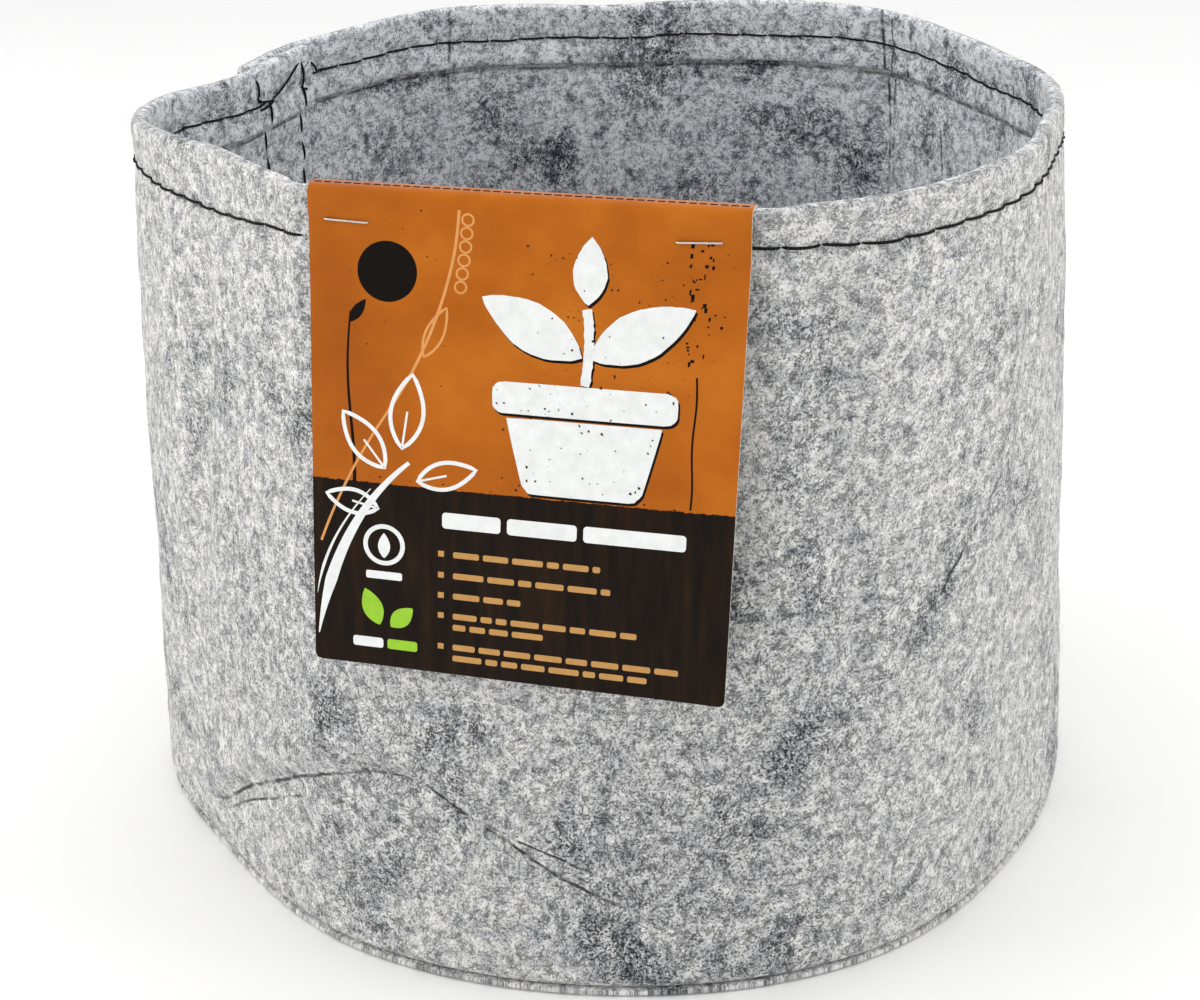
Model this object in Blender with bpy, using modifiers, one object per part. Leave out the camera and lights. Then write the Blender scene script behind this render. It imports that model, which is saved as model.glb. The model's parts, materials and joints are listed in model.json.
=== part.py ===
"""A fabric grow bag: a felt side wall lapped and sewn into a ring, a felt base disc sewn under it,
the threads of every seam, and a folded header card held over the rim by two staples.

Metres, +Z up, front (the card's side) towards -Y. The bag stands on z = 0 and its box is centred on
the origin. Angles run round the bag from the front, positive towards +X.
"""

import math

import bmesh
import bpy
from mathutils import Matrix, Vector

# Driving sizes. A drop is measured down from the top of the rim, an inset in from the nearest edge.
POT_DIAMETER = 0.305
POT_HEIGHT = 0.241
FELT = 0.003
BASE_FELT = 0.0022
HEM_DEPTH = 0.022
HEM_STITCH_DEPTH = 0.0125
FOOT_RADIUS = 0.008
FOOT_FLANGE = 0.020
FOOT_STITCH_INSET = 0.013
BASE_EDGE_SETBACK = 0.0008
SEAM_LAP = 0.033
SEAM_ROW_INSET = 0.0052
SEAM_EASE_LENGTH = 0.045
THREAD = 0.0009
CARD_WIDTH = 0.1175
CARD_FRONT_DROP = 0.139
CARD_INNER_DROP = 0.060
CARD_THICKNESS = 0.0005
CARD_CORNER_RADIUS = 0.002
CARD_CREASE_DEPTH = 0.016
STAPLE_CROWN = 0.0127
STAPLE_WIRE = 0.0006
STAPLE_DEPTH = 0.0105
STAPLE_CLINCH = 0.004
STAPLE_LEFT_INSET = 0.004
STAPLE_RIGHT_INSET = 0.007

# Clearances
LAYER_GAP = 0.0003
CLEARANCE = 0.0003

# Placing
SEAM_OUTER_END = math.radians(-117.5)
CARD_FACING = math.radians(-12.6)
CARD_SIDE_SHIFT = 0.006
CARD_SPLAY = math.radians(2.5)
CARD_FLAT_SHARE = 0.9185
CARD_FLAT_FADE = math.radians(6)
BASE_SHIFT_BACK = 0.011

# How finely the felt is divided
LAP_STEPS = 4
ROUND_STEPS = 88
FOOT_STEPS = 4
FOLD_STEPS = 6
WALL_ROWS = 3

# The limp outline of the opening: angle in degrees, radius as a share of the mean radius, and the
# rim's rise as a share of the height.
RIM_OUTLINE = (
    (-178, 0.840, 0.020),
    (-152, 0.985, 0.005),
    (-134, 1.012, -0.014),
    (-113, 0.985, -0.034),
    (-91, 1.010, -0.031),
    (-72, 0.972, -0.014),
    (-55, 0.942, 0.000),
    (-38, 0.965, 0.006),
    (-12, 0.940, 0.008),
    (14, 1.015, 0.009),
    (29, 1.052, 0.014),
    (46, 0.988, 0.018),
    (67, 0.895, 0.014),
    (90, 0.898, 0.000),
    (116, 0.980, -0.014),
    (131, 1.055, -0.010),
    (144, 1.140, -0.001),
    (156, 1.060, 0.008),
)

# The outline of the foot: angle in degrees and radius as a share of the mean radius.
BASE_OUTLINE = (
    (-180, 0.963),
    (-145, 0.985),
    (-112, 1.012),
    (-90, 1.052),
    (-62, 0.966),
    (-30, 0.993),
    (0, 0.995),
    (30, 0.992),
    (60, 0.966),
    (90, 1.018),
    (106, 1.058),
    (132, 0.995),
    (157, 0.984),
)

# Worked out from the sizes above
MEAN_RADIUS = POT_DIAMETER / 2
HEM_THICKNESS = 2 * FELT + LAYER_GAP
LAP_ANGLE = SEAM_LAP / MEAN_RADIUS
LAYER_PITCH = FELT + LAYER_GAP
HEM_PITCH = HEM_THICKNESS + LAYER_GAP
FLANGE_UNDERSIDE = BASE_FELT + CLEARANCE
FOOT_CENTRE_Z = FLANGE_UNDERSIDE + FOOT_RADIUS
THREAD_STANDOFF = CLEARANCE + THREAD / 2
HEM_BLEND_LOW = HEM_DEPTH + 0.014
HEM_BLEND_HIGH = HEM_DEPTH + 0.002
END_MARGIN = 0.002
FULL_TURN = 2 * math.pi


# Outlines


def smooth_value(controls, column, angle):
    """The value at an angle on a smooth closed curve through the controls."""
    degrees = math.degrees(angle)
    first = controls[0][0]
    degrees = first + (degrees - first) % 360
    count = len(controls)
    index = max(i for i in range(count) if controls[i][0] <= degrees)

    def control(i):
        turns, place = divmod(i, count)
        return controls[place][0] + 360 * turns, controls[place][column]

    before, start, end, after = (control(index + k) for k in (-1, 0, 1, 2))
    span = end[0] - start[0]
    start_slope = (end[1] - before[1]) / (end[0] - before[0]) * span
    end_slope = (after[1] - start[1]) / (after[0] - start[0]) * span
    t = (degrees - start[0]) / span
    return (
        start[1] * (2 * t**3 - 3 * t**2 + 1)
        + end[1] * (3 * t**2 - 2 * t**3)
        + start_slope * (t**3 - 2 * t**2 + t)
        + end_slope * (t**3 - t**2)
    )


def smooth_step(value):
    value = min(max(value, 0), 1)
    return value * value * (3 - 2 * value)


def rim_height(angle):
    return POT_HEIGHT * (1 + smooth_value(RIM_OUTLINE, 2, angle))


def rim_share(angle):
    """The rim's radius as a share of the mean, straight where the card stiffens it."""
    from_facing = (angle - CARD_FACING + math.pi) % FULL_TURN - math.pi
    flat_distance = MEAN_RADIUS * CARD_FLAT_SHARE
    far_side = CARD_SIDE_SHIFT if from_facing > 0 else -CARD_SIDE_SHIFT
    half_angle = math.atan2(CARD_WIDTH / 2 + far_side + END_MARGIN, flat_distance)
    limp = smooth_value(RIM_OUTLINE, 1, angle)
    beyond = abs(from_facing) - half_angle
    if beyond > CARD_FLAT_FADE:
        return limp
    straight = CARD_FLAT_SHARE / math.cos(from_facing)
    return straight + (limp - straight) * smooth_step(beyond / CARD_FLAT_FADE)


def outline_point(angle, z):
    """A point on the outer face of the wall."""
    rise = z / POT_HEIGHT
    rim = rim_share(angle)
    base = smooth_value(BASE_OUTLINE, 1, angle)
    radius = MEAN_RADIUS * (base + (rim - base) * rise)
    back = BASE_SHIFT_BACK * (1 - rise)
    return Vector((radius * math.sin(angle), back - radius * math.cos(angle), z))


def wall_point(angle, z, outwards):
    """A point moved level with the ground along the wall's normal."""
    step = math.radians(0.5)
    along = outline_point(angle + step, z) - outline_point(angle - step, z)
    normal = Vector((along.y, -along.x, 0)).normalized()
    return outline_point(angle, z) + outwards * normal


# The strip's stations: it starts at its outer end, goes once round, and ends inside the lap.


def strip_angles():
    """Angles of the strip's stations, falling from the outer end to the inner end."""
    lap = [SEAM_OUTER_END - LAP_ANGLE * k / LAP_STEPS for k in range(LAP_STEPS + 1)]
    rest = FULL_TURN - LAP_ANGLE
    round_part = [lap[-1] - rest * k / ROUND_STEPS for k in range(1, ROUND_STEPS + 1)]
    return lap + round_part + [angle - FULL_TURN for angle in lap[1:]]


def tucked(angle):
    """How far the strip has moved in behind its outer end: 0 on its own, 1 in the lap."""
    before_end = (angle - (SEAM_OUTER_END - FULL_TURN)) * MEAN_RADIUS
    return smooth_step(1 - (before_end - 3 * END_MARGIN) / SEAM_EASE_LENGTH)


def outer_run():
    """Stations of the strip's outer face that the lap doesn't cover."""
    margin = END_MARGIN / MEAN_RADIUS
    start = SEAM_OUTER_END - margin
    end = SEAM_OUTER_END - FULL_TURN + margin
    inside = [angle for angle in strip_angles() if end + margin < angle < start - margin]
    return [start] + inside + [end]


def inner_run():
    """Stations of the strip's inner face that the lap doesn't cover."""
    margin = END_MARGIN / MEAN_RADIUS
    start = SEAM_OUTER_END - LAP_ANGLE - margin
    end = SEAM_OUTER_END - LAP_ANGLE - FULL_TURN + margin
    inside = [angle for angle in strip_angles() if end + margin < angle < start - margin]
    return [start] + inside + [end]


# Objects


def new_collection(name):
    collection = bpy.data.collections.new(name)
    bpy.context.scene.collection.children.link(collection)
    return collection


def clear_scene():
    for obj in list(bpy.data.objects):
        bpy.data.objects.remove(obj, do_unlink=True)


def new_material(name, colour, roughness, metallic=0.0):
    material = bpy.data.materials.new(name)
    material.use_nodes = True
    shader = material.node_tree.nodes["Principled BSDF"]
    shader.inputs["Base Color"].default_value = (*colour, 1)
    shader.inputs["Roughness"].default_value = roughness
    shader.inputs["Metallic"].default_value = metallic
    return material


def add_object(name, data, collection, parent, material=None):
    obj = bpy.data.objects.new(name, data)
    collection.objects.link(obj)
    obj.parent = parent
    if material:
        obj.data.materials.append(material)
    return obj


def add_empty(name, collection, parent, matrix):
    empty = add_object(name, None, collection, parent)
    empty.empty_display_size = 0.02
    empty.matrix_local = matrix
    return empty


def mesh_from_faces(name, points, faces):
    mesh = bpy.data.meshes.new(name)
    mesh.from_pydata(points, [], faces)
    shape = bmesh.new()
    shape.from_mesh(mesh)
    bmesh.ops.recalc_face_normals(shape, faces=shape.faces)
    shape.to_mesh(mesh)
    shape.free()
    mesh.shade_smooth()
    mesh.set_sharp_from_angle(angle=math.radians(40))
    return mesh


def thread_object(name, points, collection, parent, material):
    """A round thread along the points, with closed ends."""
    curve = bpy.data.curves.new(name, "CURVE")
    curve.dimensions = "3D"
    curve.bevel_depth = THREAD / 2
    curve.bevel_resolution = 1
    curve.use_fill_caps = True
    spline = curve.splines.new("POLY")
    spline.points.add(len(points) - 1)
    for spline_point, point in zip(spline.points, points):
        spline_point.co = (*point, 1)
    return add_object(name, curve, collection, parent, material)


# Side wall


def arc(centre, radius, start, end, steps):
    """Points (outwards, z) along an arc, angles in degrees from straight out."""
    turns = [math.radians(start + (end - start) * k / steps) for k in range(steps + 1)]
    return [(centre[0] + radius * math.cos(t), centre[1] + radius * math.sin(t)) for t in turns]


def wall_section(angle):
    """The closed section of the wall at one station, as (outwards, z)."""
    inset_foot = tucked(angle) * LAYER_PITCH
    inset_hem = tucked(angle) * HEM_PITCH
    top = rim_height(angle)
    foot_centre = (-FOOT_RADIUS, FOOT_CENTRE_Z)
    outer_radius = FOOT_RADIUS - inset_foot
    inner_radius = outer_radius - FELT
    fold_radius = HEM_THICKNESS / 2
    fold_centre = (-inset_hem - fold_radius, top - fold_radius)
    blend_low = top - HEM_BLEND_LOW
    blend_high = top - HEM_BLEND_HIGH
    rows = [
        FOOT_CENTRE_Z + (blend_low - FOOT_CENTRE_Z) * k / WALL_ROWS
        for k in range(1, WALL_ROWS + 1)
    ]
    outer = [(-FOOT_FLANGE, FOOT_CENTRE_Z - outer_radius)]
    outer += arc(foot_centre, outer_radius, -90, 0, FOOT_STEPS)
    outer += [(-inset_foot, z) for z in rows]
    outer += [(-inset_hem, blend_high)]
    fold = arc(fold_centre, fold_radius, 0, 180, FOLD_STEPS)
    hem_edge = [
        (-inset_hem - HEM_THICKNESS, top - HEM_DEPTH),
        (-inset_hem - LAYER_PITCH, top - HEM_DEPTH),
    ]
    slit = arc(fold_centre, LAYER_GAP / 2, 180, 0, 2)
    inner = [(-inset_hem - FELT, blend_high)]
    inner += [(-inset_foot - FELT, z) for z in reversed(rows)]
    inner += arc(foot_centre, inner_radius, 0, -90, FOOT_STEPS)
    inner += [(-FOOT_FLANGE, FOOT_CENTRE_Z - inner_radius)]
    return outer + fold + hem_edge + slit + inner


def loft(sections, closed_ends):
    """Faces between sections with the same number of points, each one a closed loop."""
    count = len(sections[0])
    points = [point for section in sections for point in section]
    faces = []
    for i in range(len(sections) - 1):
        for k in range(count):
            after = (k + 1) % count
            low = i * count
            high = low + count
            faces.append((low + k, low + after, high + after, high + k))
    if closed_ends:
        faces.append(tuple(range(count)))
        faces.append(tuple(range(len(points) - count, len(points))))
    return points, faces


def make_side_wall(collection, parent, material):
    sections = [
        [wall_point(angle, z, outwards) for outwards, z in wall_section(angle)]
        for angle in strip_angles()
    ]
    mesh = mesh_from_faces("side_wall", *loft(sections, True))
    return add_object("side_wall", mesh, collection, parent, material)


# Base


def base_profile():
    """The base's rings from the middle of its underside, over its edge, to its top."""
    groove_half = THREAD / 2 + CLEARANCE
    groove_depth = THREAD + 2 * CLEARANCE - LAYER_GAP
    softened = BASE_FELT / 5
    return (
        (-FOOT_STITCH_INSET - groove_half, 0),
        (-FOOT_STITCH_INSET - groove_half, groove_depth),
        (-FOOT_STITCH_INSET + groove_half, groove_depth),
        (-FOOT_STITCH_INSET + groove_half, 0),
        (-BASE_EDGE_SETBACK - softened, 0),
        (-BASE_EDGE_SETBACK, softened),
        (-BASE_EDGE_SETBACK, BASE_FELT - softened),
        (-BASE_EDGE_SETBACK - softened, BASE_FELT),
        (-FOOT_FLANGE, BASE_FELT),
    )


def make_base_disc(collection, parent, material):
    angles = strip_angles()[: LAP_STEPS + ROUND_STEPS]
    rings = [
        [wall_point(angle, FOOT_CENTRE_Z, outwards) * Vector((1, 1, 0)) + Vector((0, 0, z))
         for angle in angles]
        for outwards, z in base_profile()
    ]
    mesh = mesh_from_faces("base_disc", *loft(rings, True))
    return add_object("base_disc", mesh, collection, parent, material)


# Threads


def hem_needle_path():
    return [
        wall_point(
            angle, rim_height(angle) - HEM_STITCH_DEPTH, THREAD_STANDOFF - tucked(angle) * HEM_PITCH
        )
        for angle in outer_run()
    ]


def hem_bobbin_path():
    return [
        wall_point(
            angle,
            rim_height(angle) - HEM_STITCH_DEPTH,
            -tucked(angle) * HEM_PITCH - HEM_THICKNESS - THREAD_STANDOFF,
        )
        for angle in inner_run()
    ]


def foot_point(angle, height):
    """A point over the foot's seam, which runs a set distance in from the wall."""
    point = wall_point(angle, FOOT_CENTRE_Z, -FOOT_STITCH_INSET)
    return Vector((point.x, point.y, height))


def base_needle_path():
    flange_top = FLANGE_UNDERSIDE + FELT
    return [
        foot_point(angle, flange_top + tucked(angle) * LAYER_PITCH + THREAD_STANDOFF)
        for angle in inner_run()
    ]


def base_bobbin_path():
    angles = strip_angles()[: LAP_STEPS + ROUND_STEPS]
    return [foot_point(angle, CLEARANCE / 2 + THREAD / 2) for angle in angles]


def row_angle(row):
    """The angle of a row of side-seam stitching: 0 is near the outer end, 1 near the inner end."""
    from_end = SEAM_ROW_INSET if row == 0 else SEAM_LAP - SEAM_ROW_INSET
    return SEAM_OUTER_END - from_end / MEAN_RADIUS


def seam_needle_path(row):
    """The outer thread of one side-seam row, from the foot up to just under the hem's stitching."""
    angle = row_angle(row)
    low = FOOT_CENTRE_Z
    high = rim_height(angle) - HEM_STITCH_DEPTH - 2 * THREAD
    count = 2 * WALL_ROWS
    heights = [low + (high - low) * k / count for k in range(count + 1)]
    return [wall_point(angle, z, THREAD_STANDOFF) for z in heights]


def seam_bobbin_path(row):
    """The inner thread of one side-seam row, which steps in over the hem's edge."""
    angle = row_angle(row)
    top = rim_height(angle)
    on_wall = -LAYER_PITCH - FELT - THREAD_STANDOFF
    under_hem = -HEM_PITCH - FELT - THREAD_STANDOFF
    on_hem = -HEM_PITCH - HEM_THICKNESS - THREAD_STANDOFF
    low = FOOT_CENTRE_Z + FOOT_RADIUS
    stops = [
        (on_wall, low),
        (on_wall, low + (top - HEM_BLEND_LOW - low) / 2),
        (on_wall, top - HEM_BLEND_LOW - END_MARGIN),
        (under_hem, top - HEM_BLEND_HIGH - 2 * END_MARGIN),
        (on_hem, top - HEM_DEPTH - THREAD),
        (on_hem, top - HEM_STITCH_DEPTH - 2 * THREAD),
    ]
    return [wall_point(angle, z, outwards) for outwards, z in stops]


def tack_path(outwards):
    """The back-and-forth stitches that lock the side seam where the hem's row crosses it."""
    start = row_angle(0)
    end = row_angle(1)
    zigzag = (
        (-0.15, 0.008), (-0.15, -0.002), (0.1, -0.001), (0.92, 0.0085), (0.95, -0.003), (1.2, 0.006)
    )
    points = []
    for share, rise in zigzag:
        angle = start + (end - start) * share
        points.append(wall_point(angle, rim_height(angle) - HEM_STITCH_DEPTH + rise, outwards))
    return points


def make_threads(collection, parent, material):
    over_thread = THREAD + CLEARANCE + THREAD_STANDOFF
    inside_hem = -HEM_PITCH - HEM_THICKNESS
    paths = {
        "hem_needle_thread": hem_needle_path(),
        "hem_bobbin_thread": hem_bobbin_path(),
        "base_seam_needle_thread": base_needle_path(),
        "base_seam_bobbin_thread": base_bobbin_path(),
        "seam_tack_needle_thread": tack_path(over_thread),
        "seam_tack_bobbin_thread": tack_path(inside_hem - over_thread),
    }
    for row in range(2):
        paths[f"side_seam_{row + 1}_needle_thread"] = seam_needle_path(row)
        paths[f"side_seam_{row + 1}_bobbin_thread"] = seam_bobbin_path(row)
    return [
        thread_object(name, path, collection, parent, material) for name, path in paths.items()
    ]


# Header card. Its own axes: x along the card's top edge, y into the bag, z up.


def card_frame():
    """The matrix from the card's axes to the bag's: origin on the chord under the card, at z = 0."""
    along = Vector((math.cos(CARD_FACING), math.sin(CARD_FACING), 0))
    inwards = Vector((-along.y, along.x, 0))
    middle = CARD_SIDE_SHIFT * along - CARD_FLAT_SHARE * MEAN_RADIUS * inwards
    columns = Matrix((along, inwards, Vector((0, 0, 1)))).transposed()
    return Matrix.Translation(middle) @ columns.to_4x4()


def felt_under_card(frame):
    """Lowest y of the felt's outer face, highest y of its inner face and the rim's highest z."""
    to_card = frame.inverted()
    step = math.radians(1)
    outer = []
    inner = []
    tops = []
    for k in range(-45, 46):
        angle = CARD_FACING + k * step
        top = rim_height(angle)
        if abs((to_card @ wall_point(angle, top, 0)).x) > CARD_WIDTH / 2 + END_MARGIN:
            continue
        tops.append(top)
        for depth in (0, HEM_DEPTH, CARD_FRONT_DROP):
            outer.append((to_card @ wall_point(angle, top - depth, 0)).y)
        for depth in (0, HEM_DEPTH):
            inner.append((to_card @ wall_point(angle, top - depth, -HEM_THICKNESS)).y)
    return min(outer), max(inner), max(tops)


def card_layout(frame):
    """The named places that the card and its staples share, in the card's axes."""
    outer, inner, top = felt_under_card(frame)
    room_for_thread = 2 * CLEARANCE + THREAD
    front_inside = outer - room_for_thread
    back_inside = inner + room_for_thread
    return {
        "front_inside": front_inside,
        "back_inside": back_inside,
        "front_outside": front_inside - CARD_THICKNESS,
        "back_outside": back_inside + CARD_THICKNESS,
        "felt_top": top,
        "fold_top": top + CLEARANCE,
        "crease": top - CARD_CREASE_DEPTH,
    }


def make_saddle(layout, collection, parent, material):
    """The band of card that is stapled over the rim, down to the crease on each side."""
    bend = HEM_THICKNESS / 2 + CLEARANCE
    shoulder = layout["fold_top"] - bend
    low = layout["crease"] + CLEARANCE / 2
    section = [(layout["front_inside"], low)]
    section += arc((layout["front_inside"] + bend, shoulder), bend, 180, 90, FOLD_STEPS)
    section += arc((layout["back_inside"] - bend, shoulder), bend, 90, 0, FOLD_STEPS)
    section += [(layout["back_inside"], low)]
    points = [(x, y, z) for y, z in section for x in (-CARD_WIDTH / 2, CARD_WIDTH / 2)]
    faces = [(2 * k, 2 * k + 1, 2 * k + 3, 2 * k + 2) for k in range(len(section) - 1)]
    mesh = bpy.data.meshes.new("header_card_saddle")
    mesh.from_pydata(points, [], faces)
    saddle = add_object("header_card_saddle", mesh, collection, parent, material)
    thicken = saddle.modifiers.new("card thickness", "SOLIDIFY")
    thicken.thickness = CARD_THICKNESS
    thicken.offset = 1
    thicken.use_even_offset = True
    return saddle


def make_panel(name, drop, collection, hinge, material):
    """A flat panel that hangs from its crease, with rounded lower corners, in the hinge's axes."""
    half = CARD_WIDTH / 2
    top = -CLEARANCE / 2
    radius = CARD_CORNER_RADIUS
    lower_left = arc((-half + radius, -drop + radius), radius, 180, 270, FOOT_STEPS)
    lower_right = arc((half - radius, -drop + radius), radius, 270, 360, FOOT_STEPS)
    outline = [(-half, top)] + lower_left + lower_right + [(half, top)]
    curve = bpy.data.curves.new(name, "CURVE")
    curve.dimensions = "2D"
    curve.fill_mode = "BOTH"
    curve.extrude = CARD_THICKNESS / 2
    spline = curve.splines.new("POLY")
    spline.points.add(len(outline) - 1)
    for spline_point, (x, z) in zip(spline.points, outline):
        spline_point.co = (x, z, 0, 1)
    spline.use_cyclic_u = True
    panel = add_object(name, curve, collection, hinge, material)
    panel.location = (0, CARD_THICKNESS / 2, 0)
    panel.rotation_euler = (math.pi / 2, 0, 0)
    return panel


def make_card(frame, layout, collection, parent, material):
    holder = add_empty("card_frame", collection, parent, frame)
    saddle = make_saddle(layout, collection, holder, material)
    front_crease = Matrix.Translation((0, layout["front_outside"], layout["crease"]))
    back_crease = Matrix.Translation((0, layout["back_outside"], layout["crease"]))
    front_hinge = add_empty(
        "card_front_hinge",
        collection,
        holder,
        front_crease @ Matrix.Rotation(-CARD_SPLAY, 4, "X"),
    )
    inner_hinge = add_empty(
        "card_inner_hinge", collection, holder, back_crease @ Matrix.Rotation(math.pi, 4, "Z")
    )
    front_drop = CARD_FRONT_DROP - CARD_CREASE_DEPTH
    inner_drop = CARD_INNER_DROP - CARD_CREASE_DEPTH
    make_panel("header_card_front_panel", front_drop, collection, front_hinge, material)
    make_panel("header_card_inner_flap", inner_drop, collection, inner_hinge, material)
    return holder, saddle


# Staples


def staple_path(layout):
    """One staple in its own axes: x along the crown, y through the rim."""
    half = STAPLE_CROWN / 2 - STAPLE_WIRE / 2
    crown = layout["front_outside"] - CLEARANCE - STAPLE_WIRE / 2
    clinch = layout["back_outside"] + CLEARANCE + STAPLE_WIRE / 2
    bend = STAPLE_WIRE
    right = [
        (half - bend, crown),
        (half, crown + bend),
        (half, clinch - bend),
        (half - bend, clinch),
        (half - STAPLE_CLINCH, clinch),
    ]
    left = [(-x, y) for x, y in reversed(right)]
    return [(x, y, 0) for x, y in left + right]


def make_staple(name, x, layout, collection, holder, material):
    curve = bpy.data.curves.new(name, "CURVE")
    curve.dimensions = "3D"
    curve.bevel_depth = STAPLE_WIRE / 2
    curve.bevel_resolution = 2
    curve.use_fill_caps = True
    path = staple_path(layout)
    spline = curve.splines.new("POLY")
    spline.points.add(len(path) - 1)
    for spline_point, point in zip(spline.points, path):
        spline_point.co = (*point, 1)
    staple = add_object(name, curve, collection, holder, material)
    staple.location = (x, 0, layout["felt_top"] - STAPLE_DEPTH)
    return staple


def make_leg_cutter(staple, side, layout, collection, holder):
    """A pin through card and felt where one leg of a staple passes."""
    length = layout["back_outside"] - layout["front_outside"] + 2 * CARD_THICKNESS
    middle = (layout["back_outside"] + layout["front_outside"]) / 2
    bpy.ops.mesh.primitive_cylinder_add(
        vertices=12, radius=STAPLE_WIRE / 2 + CLEARANCE, depth=length
    )
    cutter = bpy.context.active_object
    cutter.name = f"{staple.name}_leg_{side}_cutter"
    for holding in list(cutter.users_collection):
        holding.objects.unlink(cutter)
    collection.objects.link(cutter)
    cutter.parent = holder
    from_middle = STAPLE_CROWN / 2 - STAPLE_WIRE / 2
    leg = from_middle if side == "right" else -from_middle
    cutter.location = (staple.location.x + leg, middle, staple.location.z)
    cutter.rotation_euler = (math.pi / 2, 0, 0)
    cutter.hide_render = True
    cutter.display_type = "WIRE"
    return cutter


def cut(target, cutter):
    modifier = target.modifiers.new(cutter.name, "BOOLEAN")
    modifier.operation = "DIFFERENCE"
    modifier.solver = "EXACT"
    modifier.object = cutter


def make_staples(layout, pierced, collections, holder, material):
    parts, cutters = collections
    furthest = (CARD_WIDTH - STAPLE_CROWN) / 2
    places = {
        "staple_left": STAPLE_LEFT_INSET - furthest,
        "staple_right": furthest - STAPLE_RIGHT_INSET,
    }
    for name, x in places.items():
        staple = make_staple(name, x, layout, parts, holder, material)
        for side in ("left", "right"):
            cutter = make_leg_cutter(staple, side, layout, cutters, holder)
            for target in pierced:
                cut(target, cutter)


# The whole bag


def centre_on_origin(root, collection):
    """Moves the bag so that the middle of its box's base is at the origin."""
    bpy.context.view_layer.update()
    graph = bpy.context.evaluated_depsgraph_get()
    corners = []
    for obj in collection.objects:
        if obj.type != "EMPTY":
            evaluated = obj.evaluated_get(graph)
            mesh = evaluated.to_mesh()
            corners += [obj.matrix_world @ vertex.co for vertex in mesh.vertices]
            evaluated.to_mesh_clear()
    low = Vector([min(corner[i] for corner in corners) for i in range(3)])
    high = Vector([max(corner[i] for corner in corners) for i in range(3)])
    root.location = Vector((-(low.x + high.x) / 2, -(low.y + high.y) / 2, -low.z))
    bpy.context.view_layer.update()


def main():
    clear_scene()
    parts = new_collection("fabric_grow_bag")
    cutters = new_collection("staple_hole_cutters")
    felt = new_material("grey felt", (0.46, 0.46, 0.45), 0.95)
    thread = new_material("black thread", (0.01, 0.01, 0.012), 0.6)
    card = new_material("printed card", (0.58, 0.20, 0.04), 0.35)
    steel = new_material("staple steel", (0.62, 0.62, 0.64), 0.3, metallic=1.0)
    root = add_empty("bag_origin", parts, None, Matrix.Identity(4))
    wall = make_side_wall(parts, root, felt)
    make_base_disc(parts, root, felt)
    make_threads(parts, root, thread)
    frame = card_frame()
    layout = card_layout(frame)
    holder, saddle = make_card(frame, layout, parts, root, card)
    make_staples(layout, (wall, saddle), (parts, cutters), holder, steel)
    centre_on_origin(root, parts)


main()
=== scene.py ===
"""The grow bag as it looks: grey needled felt that creases and sags, its black stitching, and the
printed card stapled over the rim. Lengths are in metres; the front faces -Y. Angles run round the
bag from the front, in degrees, positive towards +X.
"""

import json
import math

import bmesh
import bpy
import numpy as np
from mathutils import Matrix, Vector


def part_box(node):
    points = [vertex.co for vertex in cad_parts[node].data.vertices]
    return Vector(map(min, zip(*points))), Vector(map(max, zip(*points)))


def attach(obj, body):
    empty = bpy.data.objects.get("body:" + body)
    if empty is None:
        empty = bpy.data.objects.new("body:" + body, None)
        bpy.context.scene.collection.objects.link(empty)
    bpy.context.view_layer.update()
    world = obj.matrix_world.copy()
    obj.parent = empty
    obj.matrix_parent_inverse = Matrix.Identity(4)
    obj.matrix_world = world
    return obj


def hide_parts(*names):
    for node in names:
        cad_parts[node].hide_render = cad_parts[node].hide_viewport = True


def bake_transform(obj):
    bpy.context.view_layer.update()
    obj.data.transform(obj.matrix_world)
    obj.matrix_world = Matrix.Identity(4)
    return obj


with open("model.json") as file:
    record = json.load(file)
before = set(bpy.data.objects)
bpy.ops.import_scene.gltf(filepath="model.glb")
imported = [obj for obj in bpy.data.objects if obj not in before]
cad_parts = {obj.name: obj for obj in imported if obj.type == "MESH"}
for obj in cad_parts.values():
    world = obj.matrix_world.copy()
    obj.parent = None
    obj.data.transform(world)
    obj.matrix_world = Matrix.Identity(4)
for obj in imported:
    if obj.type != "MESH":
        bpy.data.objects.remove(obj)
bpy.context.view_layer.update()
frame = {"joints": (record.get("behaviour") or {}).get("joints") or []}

# The bag's sizes, as in the CAD model
MEAN_RADIUS = 0.1525
POT_HEIGHT = 0.241
FELT = 0.003
BASE_FELT = 0.0022
HEM_DEPTH = 0.022
HEM_STITCH_DEPTH = 0.0125
FOOT_RADIUS = 0.008
FOOT_FLANGE = 0.020
FOOT_STITCH_INSET = 0.013
SEAM_LAP = 0.033
SEAM_ROW_INSET = 0.0052
SEAM_EASE_LENGTH = 0.045
THREAD = 0.00085
PLY_PITCH = 0.0011
CARD_WIDTH = 0.1175
CARD_INNER_DROP = 0.060
CARD_THICKNESS = 0.0005
CARD_CREASE_DEPTH = 0.016
CARD_LOWEST = 0.095
CARD_CORNER_RADIUS = 0.002
FOOT_EDGE_RADIUS = 0.0038
CARD_PINCH = 0.0022
STAPLE_CROWN = 0.0127
STAPLE_DEPTH = 0.0105
STAPLE_WIRE_RADIUS = 0.0003
LAYER_GAP = 0.0003
SEAM_OUTER_END = -117.5
CARD_FACING = -12.6
CARD_SIDE_SHIFT = 0.006
CARD_FLAT_SHARE = 0.9185
CARD_FLAT_FADE = 6.0
CARD_SPLAY = math.radians(2.5)
BASE_SHIFT_BACK = 0.011
END_MARGIN = 0.002
ORIGIN = np.array((0.001670, 0.000947, 0.0))

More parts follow.
